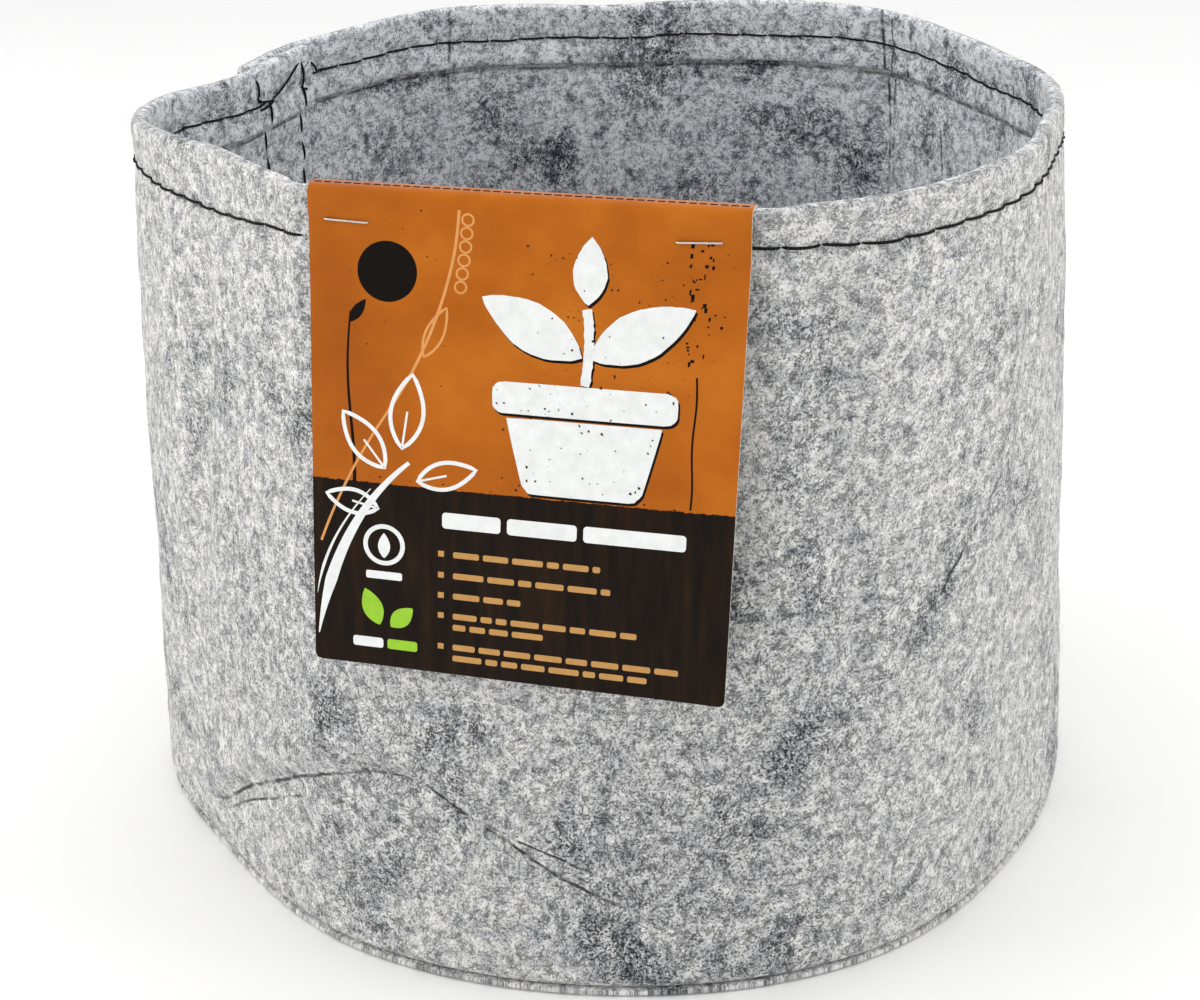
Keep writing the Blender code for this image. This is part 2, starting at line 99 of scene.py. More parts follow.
# The rim: angle, radius as a share of the mean, height above the pot's as a share of it
RIM_OUTLINE = np.array((
    (-178, 0.840, 0.020), (-152, 0.985, 0.005), (-134, 1.012, -0.014), (-113, 0.985, -0.034),
    (-91, 1.010, -0.031), (-72, 0.972, -0.014), (-55, 0.942, 0.000), (-38, 0.965, 0.006),
    (-12, 0.940, 0.008), (14, 1.015, 0.009), (29, 1.052, 0.014), (46, 0.988, 0.018),
    (67, 0.895, 0.014), (90, 0.898, 0.000), (116, 0.980, -0.014), (131, 1.055, -0.010),
    (144, 1.140, -0.001), (156, 1.060, 0.008),
))
# The foot: angle, radius as a share of the mean
BASE_OUTLINE = np.array((
    (-180, 0.963), (-145, 0.985), (-112, 1.012), (-90, 1.052), (-62, 0.966), (-30, 0.993),
    (0, 0.995), (30, 0.992), (60, 0.966), (90, 1.018), (106, 1.058), (132, 0.995), (157, 0.984),
))

PRESSED_FELT = 0.0022
HEM_THICKNESS = 2 * PRESSED_FELT + LAYER_GAP
LAYER_PITCH = FELT + LAYER_GAP
HEM_PITCH = HEM_THICKNESS + LAYER_GAP
FLANGE_UNDERSIDE = BASE_FELT + LAYER_GAP
FOOT_CENTRE_Z = FLANGE_UNDERSIDE + FOOT_RADIUS
HEM_BLEND_LOW = HEM_DEPTH + 0.014
HEM_BLEND_HIGH = HEM_DEPTH + 0.002
DEGREES_PER_METRE = math.degrees(1 / MEAN_RADIUS)
LAP_ANGLE = SEAM_LAP * DEGREES_PER_METRE
WALL_COLUMNS = 590


# Curves and noise


def smooth_step(value):
    value = np.clip(value, 0, 1)
    return value * value * (3 - 2 * value)


def bell(value, width):
    """1 where the value is 0, and next to nothing beyond twice the width."""
    return np.exp(-((value / width) ** 2))


def wrapped(angle):
    """Angles brought between -180 and 180 degrees."""
    return (np.asarray(angle, float) + 180) % 360 - 180


def faded(share, start, end):
    """0 at both ends of a line, rising to 1 over its start share and falling over its end share."""
    return smooth_step(share / start) * smooth_step((1 - share) / end)


def unit(vectors):
    return vectors / np.linalg.norm(vectors, axis=-1, keepdims=True)


def distances(path):
    """How far along a path each of its points is."""
    return np.concatenate(([0], np.cumsum(np.linalg.norm(np.diff(path, axis=0), axis=1))))


def round_bag(angle, z):
    """Places on a plain drum, where a noise runs round the bag without a seam."""
    turn = np.radians(angle)
    return np.stack((np.sin(turn) * 0.16, np.cos(turn) * 0.16, z), -1).reshape(-1, 3)


def smooth_value(controls, column, angle):
    """Values at angles on a smooth closed curve through the controls."""
    places = controls[:, 0]
    count = len(controls)
    degrees = places[0] + (np.asarray(angle, float) - places[0]) % 360
    index = np.searchsorted(places, degrees, side="right") - 1

    def control(i):
        turns = np.floor_divide(i, count)
        row = i - turns * count
        return places[row] + 360 * turns, controls[row, column]

    before, start, end, after = (control(index + k) for k in (-1, 0, 1, 2))
    span = end[0] - start[0]
    start_slope = (end[1] - before[1]) / (end[0] - before[0]) * span
    end_slope = (after[1] - start[1]) / (after[0] - start[0]) * span
    t = (degrees - start[0]) / span
    return (
        start[1] * (2 * t**3 - 3 * t**2 + 1)
        + end[1] * (3 * t**2 - 2 * t**3)
        + start_slope * (t**3 - 2 * t**2 + t)
        + end_slope * (t**3 - t**2)
    )


def wave_noise(points, size, seed, octaves=3):
    """A soft random value from about -1 to 1 at each point, with bumps of about this size."""
    rng = np.random.default_rng(seed)
    total = np.zeros(len(points))
    weight = 1.0
    for octave in range(octaves):
        for _ in range(7):
            direction = rng.normal(size=3)
            direction /= np.linalg.norm(direction)
            pitch = size / 2**octave * rng.uniform(0.75, 1.35)
            total += weight * np.sin(points @ direction * math.tau / pitch + rng.uniform(0, 7))
        weight *= 0.5
    return total / 4.5


# The limp outline


def rim_height(angle):
    return POT_HEIGHT * (1 + smooth_value(RIM_OUTLINE, 2, angle))


def rim_share(angle):
    """The rim's radius as a share of the mean, straight where the card stiffens it."""
    from_facing = np.radians(wrapped(angle - CARD_FACING))
    flat_distance = MEAN_RADIUS * CARD_FLAT_SHARE
    far_side = np.where(from_facing > 0, CARD_SIDE_SHIFT, -CARD_SIDE_SHIFT)
    half_angle = np.arctan2(CARD_WIDTH / 2 + far_side + END_MARGIN, flat_distance)
    limp = smooth_value(RIM_OUTLINE, 1, angle)
    beyond = np.abs(from_facing) - half_angle
    near = np.cos(np.clip(from_facing, -1, 1))
    straight = CARD_FLAT_SHARE / near
    return straight + (limp - straight) * smooth_step(beyond / math.radians(CARD_FLAT_FADE))


def under_card(angle):
    """1 where the card presses the rim down, easing to 0 well beyond its edges."""
    return smooth_step((46.0 - np.abs(wrapped(angle - CARD_FACING))) / 24.0)


def beside_card(angle, start, fade):
    """0 behind the card, easing to 1 over fade degrees from start degrees to either side."""
    return smooth_step((np.abs(wrapped(angle - CARD_FACING)) - start) / fade)


def outline_point(angle, z):
    """Points on the outer face of the wall, before it is creased."""
    rise = z / POT_HEIGHT
    base = smooth_value(BASE_OUTLINE, 1, angle)
    radius = MEAN_RADIUS * (base + (rim_share(angle) - base) * rise)
    back = BASE_SHIFT_BACK * (1 - rise)
    turn = np.radians(angle)
    return np.stack((radius * np.sin(turn), back - radius * np.cos(turn), z), -1) + ORIGIN


def outline_normal(angle, z):
    along = outline_point(angle + 0.5, z) - outline_point(angle - 0.5, z)
    return unit(np.stack((along[..., 1], -along[..., 0], np.zeros(along.shape[:-1])), -1))


def near_path(angle, z, path):
    """For a line of (angle, z in mm): the distance from it in metres, which side, 1 or -1, and
    the share along it."""
    x = np.asarray(angle) / DEGREES_PER_METRE
    stops = np.array([(a / DEGREES_PER_METRE, height / 1000) for a, height in path])
    best = np.full(np.shape(x), 9.0)
    side = np.zeros(np.shape(x))
    share = np.zeros(np.shape(x))
    for k in range(len(stops) - 1):
        run = stops[k + 1] - stops[k]
        dx = x - stops[k, 0]
        dz = z - stops[k, 1]
        t = np.clip((dx * run[0] + dz * run[1]) / (run @ run), 0, 1)
        away = np.hypot(dx - t * run[0], dz - t * run[1])
        closer = away < best
        best = np.where(closer, away, best)
        side = np.where(closer, np.sign(run[0] * dz - run[1] * dx), side)
        share = np.where(closer, (k + t) / (len(stops) - 1), share)
    return best, side, share


# Creases of the felt: (angle, height in mm) along each
LONG_CREASE = (
    (-66, 16), (-60.6, 22), (-53.6, 35), (-47.2, 44), (-41, 53), (-34.8, 61), (-29.4, 66),
    (-26, 67), (-22.6, 66), (-18, 59), (-13.2, 52), (-7.4, 42), (-2, 34), (3, 29),
)
SHORT_CREASE = ((-60, 19), (-54, 29), (-48, 37), (-42, 45), (-36, 50))
SIDE_CREASE = ((28, 90), (32.8, 112), (37, 125), (40, 133), (43, 140), (46.2, 148), (49.6, 158))
SECOND_LINE = (
    (-17, 57.5), (-13.8, 54.6), (-11.8, 52.6), (-9.8, 50.5), (-7, 48), (-4.6, 45), (-1, 41),
)
BACK_FOLD = ((146.3, 246), (145.4, 229), (144.7, 218), (143.4, 197), (142.5, 176), (141.8, 140))

# A painted crease-shade line's distance is stored in units of this
LINE_REACH = 0.010

# Painted shade lines along the creases: which side of the felt (1 outside), which of two layers,
# how they fade in and out
CREASE_SHADE_LINES = (
    (LONG_CREASE, 1, 0, 0.10, 0.10), (SIDE_CREASE, 1, 0, 0.3, 0.5),
    (SHORT_CREASE, 1, 1, 0.3, 0.4), (SECOND_LINE, 1, 1, 0.25, 0.2),
    (BACK_FOLD, -1, 0, 0.02, 0.4),
    (((-154.3, 246), (-153.7, 217), (-153.6, 196)), -1, 0, 0.02, 0.7),
    (((140.7, 241), (140.3, 220), (140.0, 212)), -1, 0, 0.2, 0.5),
    (((144.2, 242), (143.5, 222), (143.0, 208)), -1, 1, 0.1, 0.5),
    (((133.8, 209), (132.6, 196), (131.5, 178)), -1, 1, 0.4, 0.4),
)

# Soft folds and dents: the line along each, then its depth and half width in mm
SOFT_FOLDS = (
    (((-57, 226), (-58.3, 185), (-62, 144), (-63.5, 117), (-64, 80)), 2.2, 8),
    (((18.8, 231), (21, 203), (21.9, 168), (22.9, 141), (25.5, 96), (27, 60)), 2.4, 6),
    (((52, 225), (54, 180), (53, 130), (50, 90)), 1.6, 9),
    (((-98, 215), (-95, 150), (-92, 90)), 1.8, 10),
    (((84, 222), (88, 160), (90, 80)), 2.0, 10),
    (((147.4, 242), (146, 230), (144.5, 208), (143.9, 182), (142, 120)), -2.2, 4),
    (((-152, 235), (-153, 190), (-151, 120)), 1.8, 8),
    (((178, 240), (177, 200), (176, 140)), 1.6, 7),
    (((112, 228), (113, 180), (116, 110)), 1.4, 8),
    (((5, 120), (9, 80), (16, 45)), 1.3, 6),
    (SIDE_CREASE, 1.2, 4),
)

# Darker clusters of fibre, and a few broad spots of painted shade: angle, height in mm, half width
# in mm, how dark
DARK_FIBRE_AND_SHADE_SPOTS = (
    (-16, 86, 8, 0.9), (-29.4, 67, 3, 1.0), (-24.6, 84, 4, 0.5), (-0.4, 75, 8, 0.7),
    (4, 93, 6, 0.5),
    (-21.8, 42, 5, 0.6), (-34, 41, 9, 0.55), (-27, 52, 6, 0.5), (-14.8, 25, 5, 0.35),
    (18, 143, 9, 0.8), (17.4, 181, 11, 0.55), (19.6, 128, 9, 0.8), (16.6, 166, 9, 0.6),
    (14.4, 100, 10, 0.6), (33, 112, 7, 0.9), (36, 122, 6, 0.6), (8.4, 58, 10, 0.4),
    (41, 82, 8, 0.4),
    (-38, 116, 9, 0.35), (-49, 119, 8, 0.3), (49, 100, 7, 0.35), (-75, 150, 12, 0.4),
    # These four and the first on the next line are broad: painted shade over the low front
    (8, 45, 62, 0.50), (-32, 60, 45, 0.42), (12, 120, 45, 0.36), (-45, 90, 40, 0.25),
    (38, 110, 45, 0.15), (147, 183, 13, 1.0), (144, 150, 16, 0.8), (121, 213, 8, 0.6),
    (143.5, 216, 4, 0.9), (-158, 196, 5, 0.8), (170, 170, 14, 0.8),
    (178, 215, 13, 0.8), (-160, 205, 12, 0.7), (-145, 190, 14, 0.6), (160, 195, 14, 0.5),
    (135, 205, 11, 0.5), (-170, 180, 12, 0.6), (-125, 120, 14, 0.5), (150, 90, 15, 0.5),
    (95, 130, 13, 0.5), (-95, 60, 13, 0.5), (70, 70, 12, 0.4), (180, 60, 16, 0.5),
)


def stitch_angles(start, end, pitch, seed):
    """Places of the needle holes round the bag, slightly uneven."""
    count = int(abs(end - start) / DEGREES_PER_METRE / pitch)
    rng = np.random.default_rng(seed)
    steps = 1 + rng.uniform(-0.14, 0.14, count)
    places = np.concatenate(([0], np.cumsum(steps)))
    return start + (end - start) * places / places[-1]


ONE_TURN_HOLES = stitch_angles(SEAM_OUTER_END, SEAM_OUTER_END - 360, 0.0106, 3)
HEM_HOLES = np.concatenate((ONE_TURN_HOLES[:-1], ONE_TURN_HOLES[1:14] - 360))


def stitch_drop(angle):
    """How far below the rim the hem's row runs: it wanders lower to the left of the card."""
    return HEM_STITCH_DEPTH + 0.0056 * bell(wrapped(angle) + 54, 24)


def hole_pucker(angle, depth_below_rim):
    """0 to 1: how far the felt is pulled in round the hem's needle holes."""
    places = np.sort((ONE_TURN_HOLES[:-1] - SEAM_OUTER_END) % 360)
    places = np.concatenate((places[-1:] - 360, places, places[:1] + 360))
    here = (np.asarray(angle, float) - SEAM_OUTER_END) % 360
    index = np.clip(np.searchsorted(places, here), 1, len(places) - 1)
    nearest = np.minimum(np.abs(here - places[index - 1]), np.abs(places[index] - here))
    along = nearest / DEGREES_PER_METRE
    return bell(along, 0.0020) * bell(depth_below_rim - stitch_drop(angle), 0.0026)


def sheet_offset(angle, z):
    """How far the felt stands out from its plain outline, by its folds, creases and limpness."""
    angle = wrapped(angle)
    drum = round_bag(angle, z)
    offset = 0.00085 * wave_noise(drum * (1, 1, 0.45), 0.085, 5).reshape(z.shape)
    offset += 0.00028 * wave_noise(drum, 0.016, 6, 2).reshape(z.shape)
    for path, depth, width in SOFT_FOLDS:
        away, _, share = near_path(angle, z, path)
        depth, width = depth / 1000, width / 1000
        dent = bell(away, width) - 0.35 * bell(away - 2.2 * width, 1.5 * width)
        offset -= depth * faded(share, 0.2, 0.35) * dent
    away, side, share = near_path(angle, z, LONG_CREASE)
    ridge = np.where(side > 0, bell(away - 0.009, 0.008), 0)
    offset += faded(share, 0.1, 0.45) * (0.0021 * ridge - 0.0013 * bell(away, 0.0036))
    away, _, share = near_path(angle, z, SHORT_CREASE)
    offset -= 0.0009 * faded(share, 0.2, 0.3) * bell(away, 0.0034)
    offset += 0.0022 * bell(angle + 6, 34) * bell(z - 0.085, 0.045)
    clear_of_foot = smooth_step((z - 0.006) / 0.02)
    beside = beside_card(angle, 22, 6)
    below_hem = smooth_step((rim_height(angle) - z - 0.006) / 0.045)
    free = beside + (1 - beside) * below_hem
    outward_limit = np.where(offset > 0, 0.55 + 0.45 * below_hem, 1)
    return offset * clear_of_foot * free * outward_limit


def tucked(angle):
    """How far the strip has moved in behind its outer end: 0 where it is single, 1 in the lap."""
    before_end = (angle - (SEAM_OUTER_END - 360)) / DEGREES_PER_METRE
    return smooth_step(1 - (before_end - 3 * END_MARGIN) / SEAM_EASE_LENGTH)


def tucked_foot(angle):
    """The same for its foot, which moves in later."""
    before_end = (angle - (SEAM_OUTER_END - 360)) / DEGREES_PER_METRE
    return smooth_step(1 - (before_end - END_MARGIN) / 0.014)


def wall_place(angle, z, outwards):
    """Points of the creased felt, so far outwards from its outer face, level with the ground."""
    level = np.maximum(z, FOOT_CENTRE_Z)
    place = outline_point(angle, level)
    push = outwards + sheet_offset(angle, level)
    place = place + outline_normal(angle, level) * push[..., None]
    place[..., 2] = z
    return place


# Mesh helpers


def add_object(name, data):
    obj = bpy.data.objects.new(name, data)
    bpy.context.scene.collection.objects.link(obj)
    return obj


def new_mesh_object(name, points, faces, body="bag", uvs=None):
    """A smooth mesh that rides on the body; uvs has one pair a point."""
    mesh = bpy.data.meshes.new(name)
    mesh.from_pydata(np.asarray(points).tolist(), [], [tuple(int(i) for i in f) for f in faces])
    if uvs is not None:
        layer = mesh.uv_layers.new(name="UVMap")
        loops = np.empty(len(mesh.loops), dtype=np.int32)
        mesh.loops.foreach_get("vertex_index", loops)
        layer.data.foreach_set("uv", np.asarray(uvs, float)[loops].ravel())
    mesh.validate()
    mesh.shade_smooth()
    obj = add_object(name, mesh)
    if body:
        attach(obj, body)
    return obj


def grid_faces(columns, rows, wrap_rows=True, wrap_columns=False):
    """The quads of a grid of points that are numbered column by column."""
    i = np.arange(columns if wrap_columns else columns - 1)
    k = np.arange(rows if wrap_rows else rows - 1)
    i, k = np.meshgrid(i, k, indexing="ij")
    after_i = (i + 1) % columns
    after_k = (k + 1) % rows
    i, after_i = i * rows, after_i * rows
    return np.stack((i + k, i + after_k, after_i + after_k, after_i + k), -1).reshape(-1, 4)


def face_outwards(obj):
    shape = bmesh.new()
    shape.from_mesh(obj.data)
    bmesh.ops.recalc_face_normals(shape, faces=shape.faces)
    shape.to_mesh(obj.data)
    shape.free()
    obj.data.shade_smooth()


def tube_mesh(paths, radii, sides):
    """Points, faces and (distance, turn) of closed round tubes along the paths."""
    points, faces, uvs = [], [], []
    base = 0
    for path, radius in zip(paths, radii):
        path = np.asarray(path, float)
        radius = np.broadcast_to(np.asarray(radius, float), len(path))
        run = unit(np.gradient(path, axis=0))
        across = unit(np.cross(run[0], (0.31, 0.27, 0.91)))
        distance = distances(path)
        turns = np.arange(sides) * math.tau / sides
        cosine, sine = np.cos(turns)[:, None], np.sin(turns)[:, None]
        for k in range(len(path)):
            across = unit(across - run[k] * (across @ run[k]))
            points.extend(path[k] + radius[k] * (cosine * across + sine * np.cross(run[k], across)))
            uvs.extend((distance[k], turn) for turn in turns / math.tau)
        for k in range(len(path) - 1):
            for j in range(sides):
                after = (j + 1) % sides
                low = base + k * sides
                faces.append((low + j, low + after, low + sides + after, low + sides + j))
        faces.append(tuple(base + j for j in reversed(range(sides))))
        faces.append(tuple(base + (len(path) - 1) * sides + j for j in range(sides)))
        base += len(path) * sides
    return points, faces, uvs


# Node materials


class Value:
    """A node's output, whose sums and products are Math nodes."""

    def __init__(self, nodes, socket):
        self.nodes, self.socket = nodes, socket

    def __add__(self, other):
        return self.nodes.math("ADD", self, other)

    def __sub__(self, other):
        return self.nodes.math("SUBTRACT", self, other)

    def __rsub__(self, other):
        return self.nodes.math("SUBTRACT", other, self)

    def __mul__(self, other):
        return self.nodes.math("MULTIPLY", self, other)

    def __abs__(self):
        return self.nodes.math("ABSOLUTE", self)


class Nodes:
    """Short names for building one material's node tree."""

    def __init__(self, name):
        self.material = bpy.data.materials.new(name)
        self.material.use_nodes = True
        self.tree = self.material.node_tree
        self.shader = self.tree.nodes["Principled BSDF"]

    def node(self, kind, **settings):
        node = self.tree.nodes.new(kind)
        for key, value in settings.items():
            setattr(node, key, value)
        return node

    def put(self, value, socket):
        if isinstance(value, Value):
            self.tree.links.new(value.socket, socket)
        elif isinstance(value, (tuple, list)) and len(value) == 3 and socket.type == "RGBA":
            socket.default_value = (*value, 1)
        else:
            socket.default_value = value

    def made(self, kind, inputs, output=0, **settings):
        """A new node's output, with its inputs set by name or number."""
        node = self.node(kind, **settings)
        for key, value in inputs.items():
            self.put(value, node.inputs[key])
        return Value(self, node.outputs[output])

    def math(self, operation, a, b=0.0, clamp=False):
        return self.made("ShaderNodeMath", {0: a, 1: b}, operation=operation, use_clamp=clamp)

    def most(self, a, b):
        return self.math("MAXIMUM", a, b)

    def vector(self, operation, a, b):
        return self.made("ShaderNodeVectorMath", {0: a, 1: b}, operation=operation)

    def split(self, vector):
        first = self.made("ShaderNodeSeparateXYZ", {0: vector})
        return first, Value(self, first.socket.node.outputs[1])

    def mapping(self, vector, turn=0, scale=(1, 1, 1), shift=(0, 0, 0)):
        """Turns the vector, then scales it, so that stretched noise runs along one direction."""
        turned = self.made(
            "ShaderNodeVectorRotate", {"Vector": vector, "Rotation": (0, 0, turn)},
            rotation_type="EULER_XYZ",
        )
        return self.made("ShaderNodeMapping", {"Vector": turned, "Scale": scale, "Location": shift})

    def noise(self, vector, scale, detail=2.0, roughness=0.5, output="Fac", dimensions="2D"):
        inputs = {"Vector": vector, "Scale": scale, "Detail": detail, "Roughness": roughness}
        return self.made("ShaderNodeTexNoise", inputs, output, noise_dimensions=dimensions)

    def ramp(self, value, *stops):
        made = self.made("ShaderNodeValToRGB", {0: value})
        ramp = made.socket.node.color_ramp
        ramp.elements[0].position, ramp.elements[1].position = stops[0][0], stops[-1][0]
        for place, _ in stops[1:-1]:
            ramp.elements.new(place)
        for element, (_, shade) in zip(ramp.elements, stops):
            element.color = (*shade, 1)
        return made

    def mix(self, factor, a, b, blend="MIX"):
        return self.made(
            "ShaderNodeMix", {0: factor, 6: a, 7: b}, 2, data_type="RGBA", blend_type=blend
        )

    def range(self, value, low, high, to_low=0.0, to_high=1.0):
        inputs = {
            "Value": value, "From Min": low, "From Max": high, "To Min": to_low, "To Max": to_high,
        }
        return self.made("ShaderNodeMapRange", inputs, interpolation_type="SMOOTHSTEP")

    def bump(self, height, strength, distance, under=None):
        inputs = {"Height": height, "Strength": strength, "Distance": distance}
        if under is not None:
            inputs["Normal"] = under
        return self.made("ShaderNodeBump", inputs)

    def uv(self):
        return self.made("ShaderNodeUVMap", {}, uv_map="UVMap")

    def attribute(self, name):
        return self.made("ShaderNodeAttribute", {}, "Fac", attribute_name=name)

    def finish(self, colour, roughness, normal=None, **constants):
        self.put(colour, self.shader.inputs["Base Color"])
        self.put(roughness, self.shader.inputs["Roughness"])
        if normal is not None:
            self.put(normal, self.shader.inputs["Normal"])
        for name, value in constants.items():
            self.shader.inputs[name.replace("_", " ")].default_value = value
        return self.material


def felt_material(name):
    """Needled recycled fibre: pale mixed grey, cloudy, speckled with fine curled black fibres and
    brushed with white ones. The dark attribute says where the black ones crowd together, and also
    carries painted shade over the low front. Inside faces are painted lighter and bluer, and
    painted shade lines run along the creases and under the hem's edge inside."""
    n = Nodes(name)
    place = n.uv()
    bend = n.vector("SUBTRACT", n.noise(place, 60, 3, 0.55, "Color"), (0.5, 0.5, 0.5))
    bent = n.vector("ADD", place, n.vector("MULTIPLY", bend, (0.0045, 0.0045, 0.0)))

    def curls(vector, scale, width, mask_scale):
        """Thin curled lines where a noise passes its middle, broken up by a second noise."""
        line = n.range(abs(n.noise(vector, scale, 3, 0.62) - 0.5), width, width * 0.25)
        return line * n.range(n.noise(bent, mask_scale, 2, 0.6), 0.49, 0.60)

    def brushed(turn, shift):
        """Long streaks of fibre that run at an angle of turn degrees."""
        turned = n.mapping(bent, math.radians(turn), (1500, 320, 1), (shift, 7.0, 0))
        return n.noise(turned, 1.0, 3, 0.65)

    broad = n.noise(place, 24, 4, 0.6)
    clouds = n.noise(bent, 150, 4, 0.62)
    grain = n.noise(place, 1500, 2, 0.7)
    lean = n.range(n.noise(place, 9, 1, 0.4), 0.44, 0.56)
    flocks = n.noise(bent, 430, 3, 0.65)
    sweep = brushed(32, 3.0) * lean + brushed(-24, 11.0) * (1.0 - lean)

    # Painted light: the inside faces get a lighter, more contrasty felt than the outside, standing
    # in for light inside the bag
    inside = n.attribute("inside")
    # Darker where fibre clusters and where the low front carries painted shade
    dark_fibre_and_shade = n.math("ADD", n.range(broad, 0.50, 0.78), n.attribute("dark") * 0.9, clamp=True)
    value = ((clouds - 0.5) * 0.80 + (flocks - 0.5) * 0.80) * (inside * 1.1 + 1.0)
    value = value + (inside * 0.18 + 0.675) + (grain - 0.5) * 0.90 + (sweep - 0.5) * 0.50
    coloured = n.ramp(
        value - dark_fibre_and_shade * (inside * 0.14 + 0.20),
        (0.10, (0.070, 0.076, 0.084)),
        (0.36, (0.235, 0.246, 0.260)),
        (0.56, (0.455, 0.462, 0.470)),
        (0.74, (0.640, 0.636, 0.626)),
        (0.95, (0.800, 0.787, 0.767)),
    )
    # Painted light colour: a bluer cast on the inside faces
    inside_light_tint = n.mix(inside, (1.0, 1.0, 1.0), (0.95, 1.0, 1.07))
    coloured = n.mix(1.0, coloured, inside_light_tint, "MULTIPLY")
    fleck = n.range(n.noise(bent, 1050, 2, 0.6) + dark_fibre_and_shade * -0.09, 0.385, 0.32)
    dark = n.most(n.most(curls(bent, 420, 0.070, 230), curls(place, 800, 0.095, 310)), fleck)
    share = n.math("MULTIPLY", dark, dark_fibre_and_shade * 0.38 + 0.60, clamp=True)
    coloured = n.mix(share, coloured, (0.010, 0.011, 0.014))

    wander = (n.noise(place, 260, 3, 0.6) - 0.5) * 0.10
    broken = n.range(n.noise(place, 120, 2, 0.5), 0.36, 0.56, 0.25, 1.0)
    # Painted shadow line just under the hem's edge inside, broken up by noise
    line = n.range(n.attribute("hem_edge_shadow"), 0.62, 0.98) * (broken * 0.85)
    # Painted shade: dark lines along the creases, where their folds are shaded, broken up by noise
    for layer, width in (("line_1", 0.090), ("line_2", 0.065)):
        crease_shade_line = n.range(abs(n.attribute(layer) + wander), width, width * 0.3)
        line = n.most(line, crease_shade_line * n.attribute("crease_shade") * broken)
    coloured = n.mix(line * 0.93, coloured, (0.010, 0.010, 0.012))

    relief = grain * 0.5 + sweep * 0.45 - n.most(dark, line) * 0.3
    normal = n.bump(relief, 0.50, 0.0005, n.bump(clouds, 0.30, 0.0010))
    return n.finish(
        coloured, 0.95, normal, Specular_IOR_Level=0.12, Sheen_Weight=0.12, Sheen_Roughness=0.6
    )


def thread_material():
    """Black bonded thread: three plies that wind round each other, with a slight shine."""
    n = Nodes("black twisted thread")
    place = n.uv()
    along, round_it = n.split(place)
    plies = abs(n.math("SINE", (along * (1 / PLY_PITCH) + round_it) * math.pi))
    lint = n.noise(n.mapping(place, 0, (2500, 9, 1)), 1.0, 3, 0.7)
    # Painted shade: the colour is darkest in the grooves between the plies
    colour = n.ramp(
        plies * 0.7 + lint * 0.3,
        (0.15, (0.0015, 0.0015, 0.002)),
        (0.7, (0.005, 0.005, 0.006)),
        (0.95, (0.016, 0.016, 0.018)),
    )
    return n.finish(colour, 0.7, n.bump(plies, 0.8, 0.0002), Specular_IOR_Level=0.15)


# The felt wall


def wall_rows(angle):
    """(outwards, z, face) of every row of the wall's closed section, at all stations at once.
    face is 1 outside, -1 inside and 0 where the felt is folded away from both."""
    inset = tucked(angle) * LAYER_PITCH
    hem = tucked(angle) * HEM_PITCH
    bottom = FLANGE_UNDERSIDE + tucked_foot(angle) * LAYER_PITCH
    bend_top = bottom + FOOT_EDGE_RADIUS
    inner_radius = FOOT_EDGE_RADIUS - FELT
    top = rim_height(angle) - CARD_PINCH * under_card(angle)
    blend_low = top - HEM_BLEND_LOW
    blend_high = top - HEM_BLEND_HIGH
    fold_radius = HEM_THICKNESS / 2
    fold_z = top - fold_radius
    edge = top - HEM_DEPTH
    hem_inside = -hem - HEM_THICKNESS
    turned_in = -hem - PRESSED_FELT
    out, high, face = [], [], []

    def row(outwards, z, side):
        out.append(outwards + 0 * angle)
        high.append(z + 0 * angle)
        face.append(side)

    def blend_row(share, felt, side):
        eased = smooth_step(share)
        thickness = felt * (FELT + (PRESSED_FELT - FELT) * eased)
        row(-inset + (inset - hem) * eased - thickness,
            blend_low + (blend_high - blend_low) * share, side)

    # Up the outside, from the flange to the rim
    for share in (0.0, 0.35, 0.7):
        row(-FOOT_FLANGE + (FOOT_FLANGE - FOOT_RADIUS) * share, bottom, 1)
    for turn in np.radians(np.linspace(-90, 0, 9)):
        row(-inset - FOOT_EDGE_RADIUS * (1 - np.cos(turn)),
            bottom + FOOT_EDGE_RADIUS * (1 + np.sin(turn)), 1)
    for share in np.concatenate((np.linspace(0, 0.35, 31)[1:], np.linspace(0.35, 1, 25)[1:])):
        row(-inset, bend_top + (blend_low - bend_top) * share, 1)
    for share in np.linspace(0, 1, 7)[1:]:
        blend_row(share, 0, 1)
    for share in np.linspace(0, 1, 18)[1:-1]:
        row(-hem, blend_high + (fold_z - blend_high) * share, 1)
    # Over the rim, in a fold that is squarer than a half circle
    for turn in np.radians(np.linspace(0, 180, 13)):
        across, up = math.cos(turn), math.sin(turn)
        reach = fold_radius * (across**4 + up**4) ** -0.125
        row(-hem - fold_radius + reach * across, fold_z + reach * up,
            1 if turn < 1.6 else -1)
    # Down the hem's inside, round its cut edge and up again between its layers
    for share in np.linspace(0, 1, 15)[1:]:
        row(hem_inside, fold_z + (edge + 0.0008 - fold_z) * share, -1)
    for share in (0.15, 0.5, 0.85):
        row(hem_inside + PRESSED_FELT * share,
            edge - 0.0004 * math.sin(math.pi * share) + 0.0002, -1)
    slit = edge + 0.0012
    for gap, z in ((LAYER_GAP, slit), (LAYER_GAP, fold_z), (0, fold_z), (0, slit)):
        row(turned_in - gap, z, 0)
    # Down the inside of the wall to the flange
    row(turned_in, blend_high, -1)
    for share in np.linspace(1, 0, 7)[1:-1]:
        blend_row(share, 1, -1)
    for share in np.concatenate((np.linspace(1, 0.55, 20), np.linspace(0.55, 0, 12)[1:])):
        row(-inset - FELT, bend_top + (blend_low - bend_top) * share, -1)
    for turn in np.radians(np.linspace(0, -90, 7))[1:]:
        row(-inset - FOOT_EDGE_RADIUS + inner_radius * np.cos(turn),
            bend_top + inner_radius * np.sin(turn), -1)
    row(-FOOT_FLANGE, bottom + FELT, -1)
    return np.stack(out, 1), np.stack(high, 1), np.array(face)


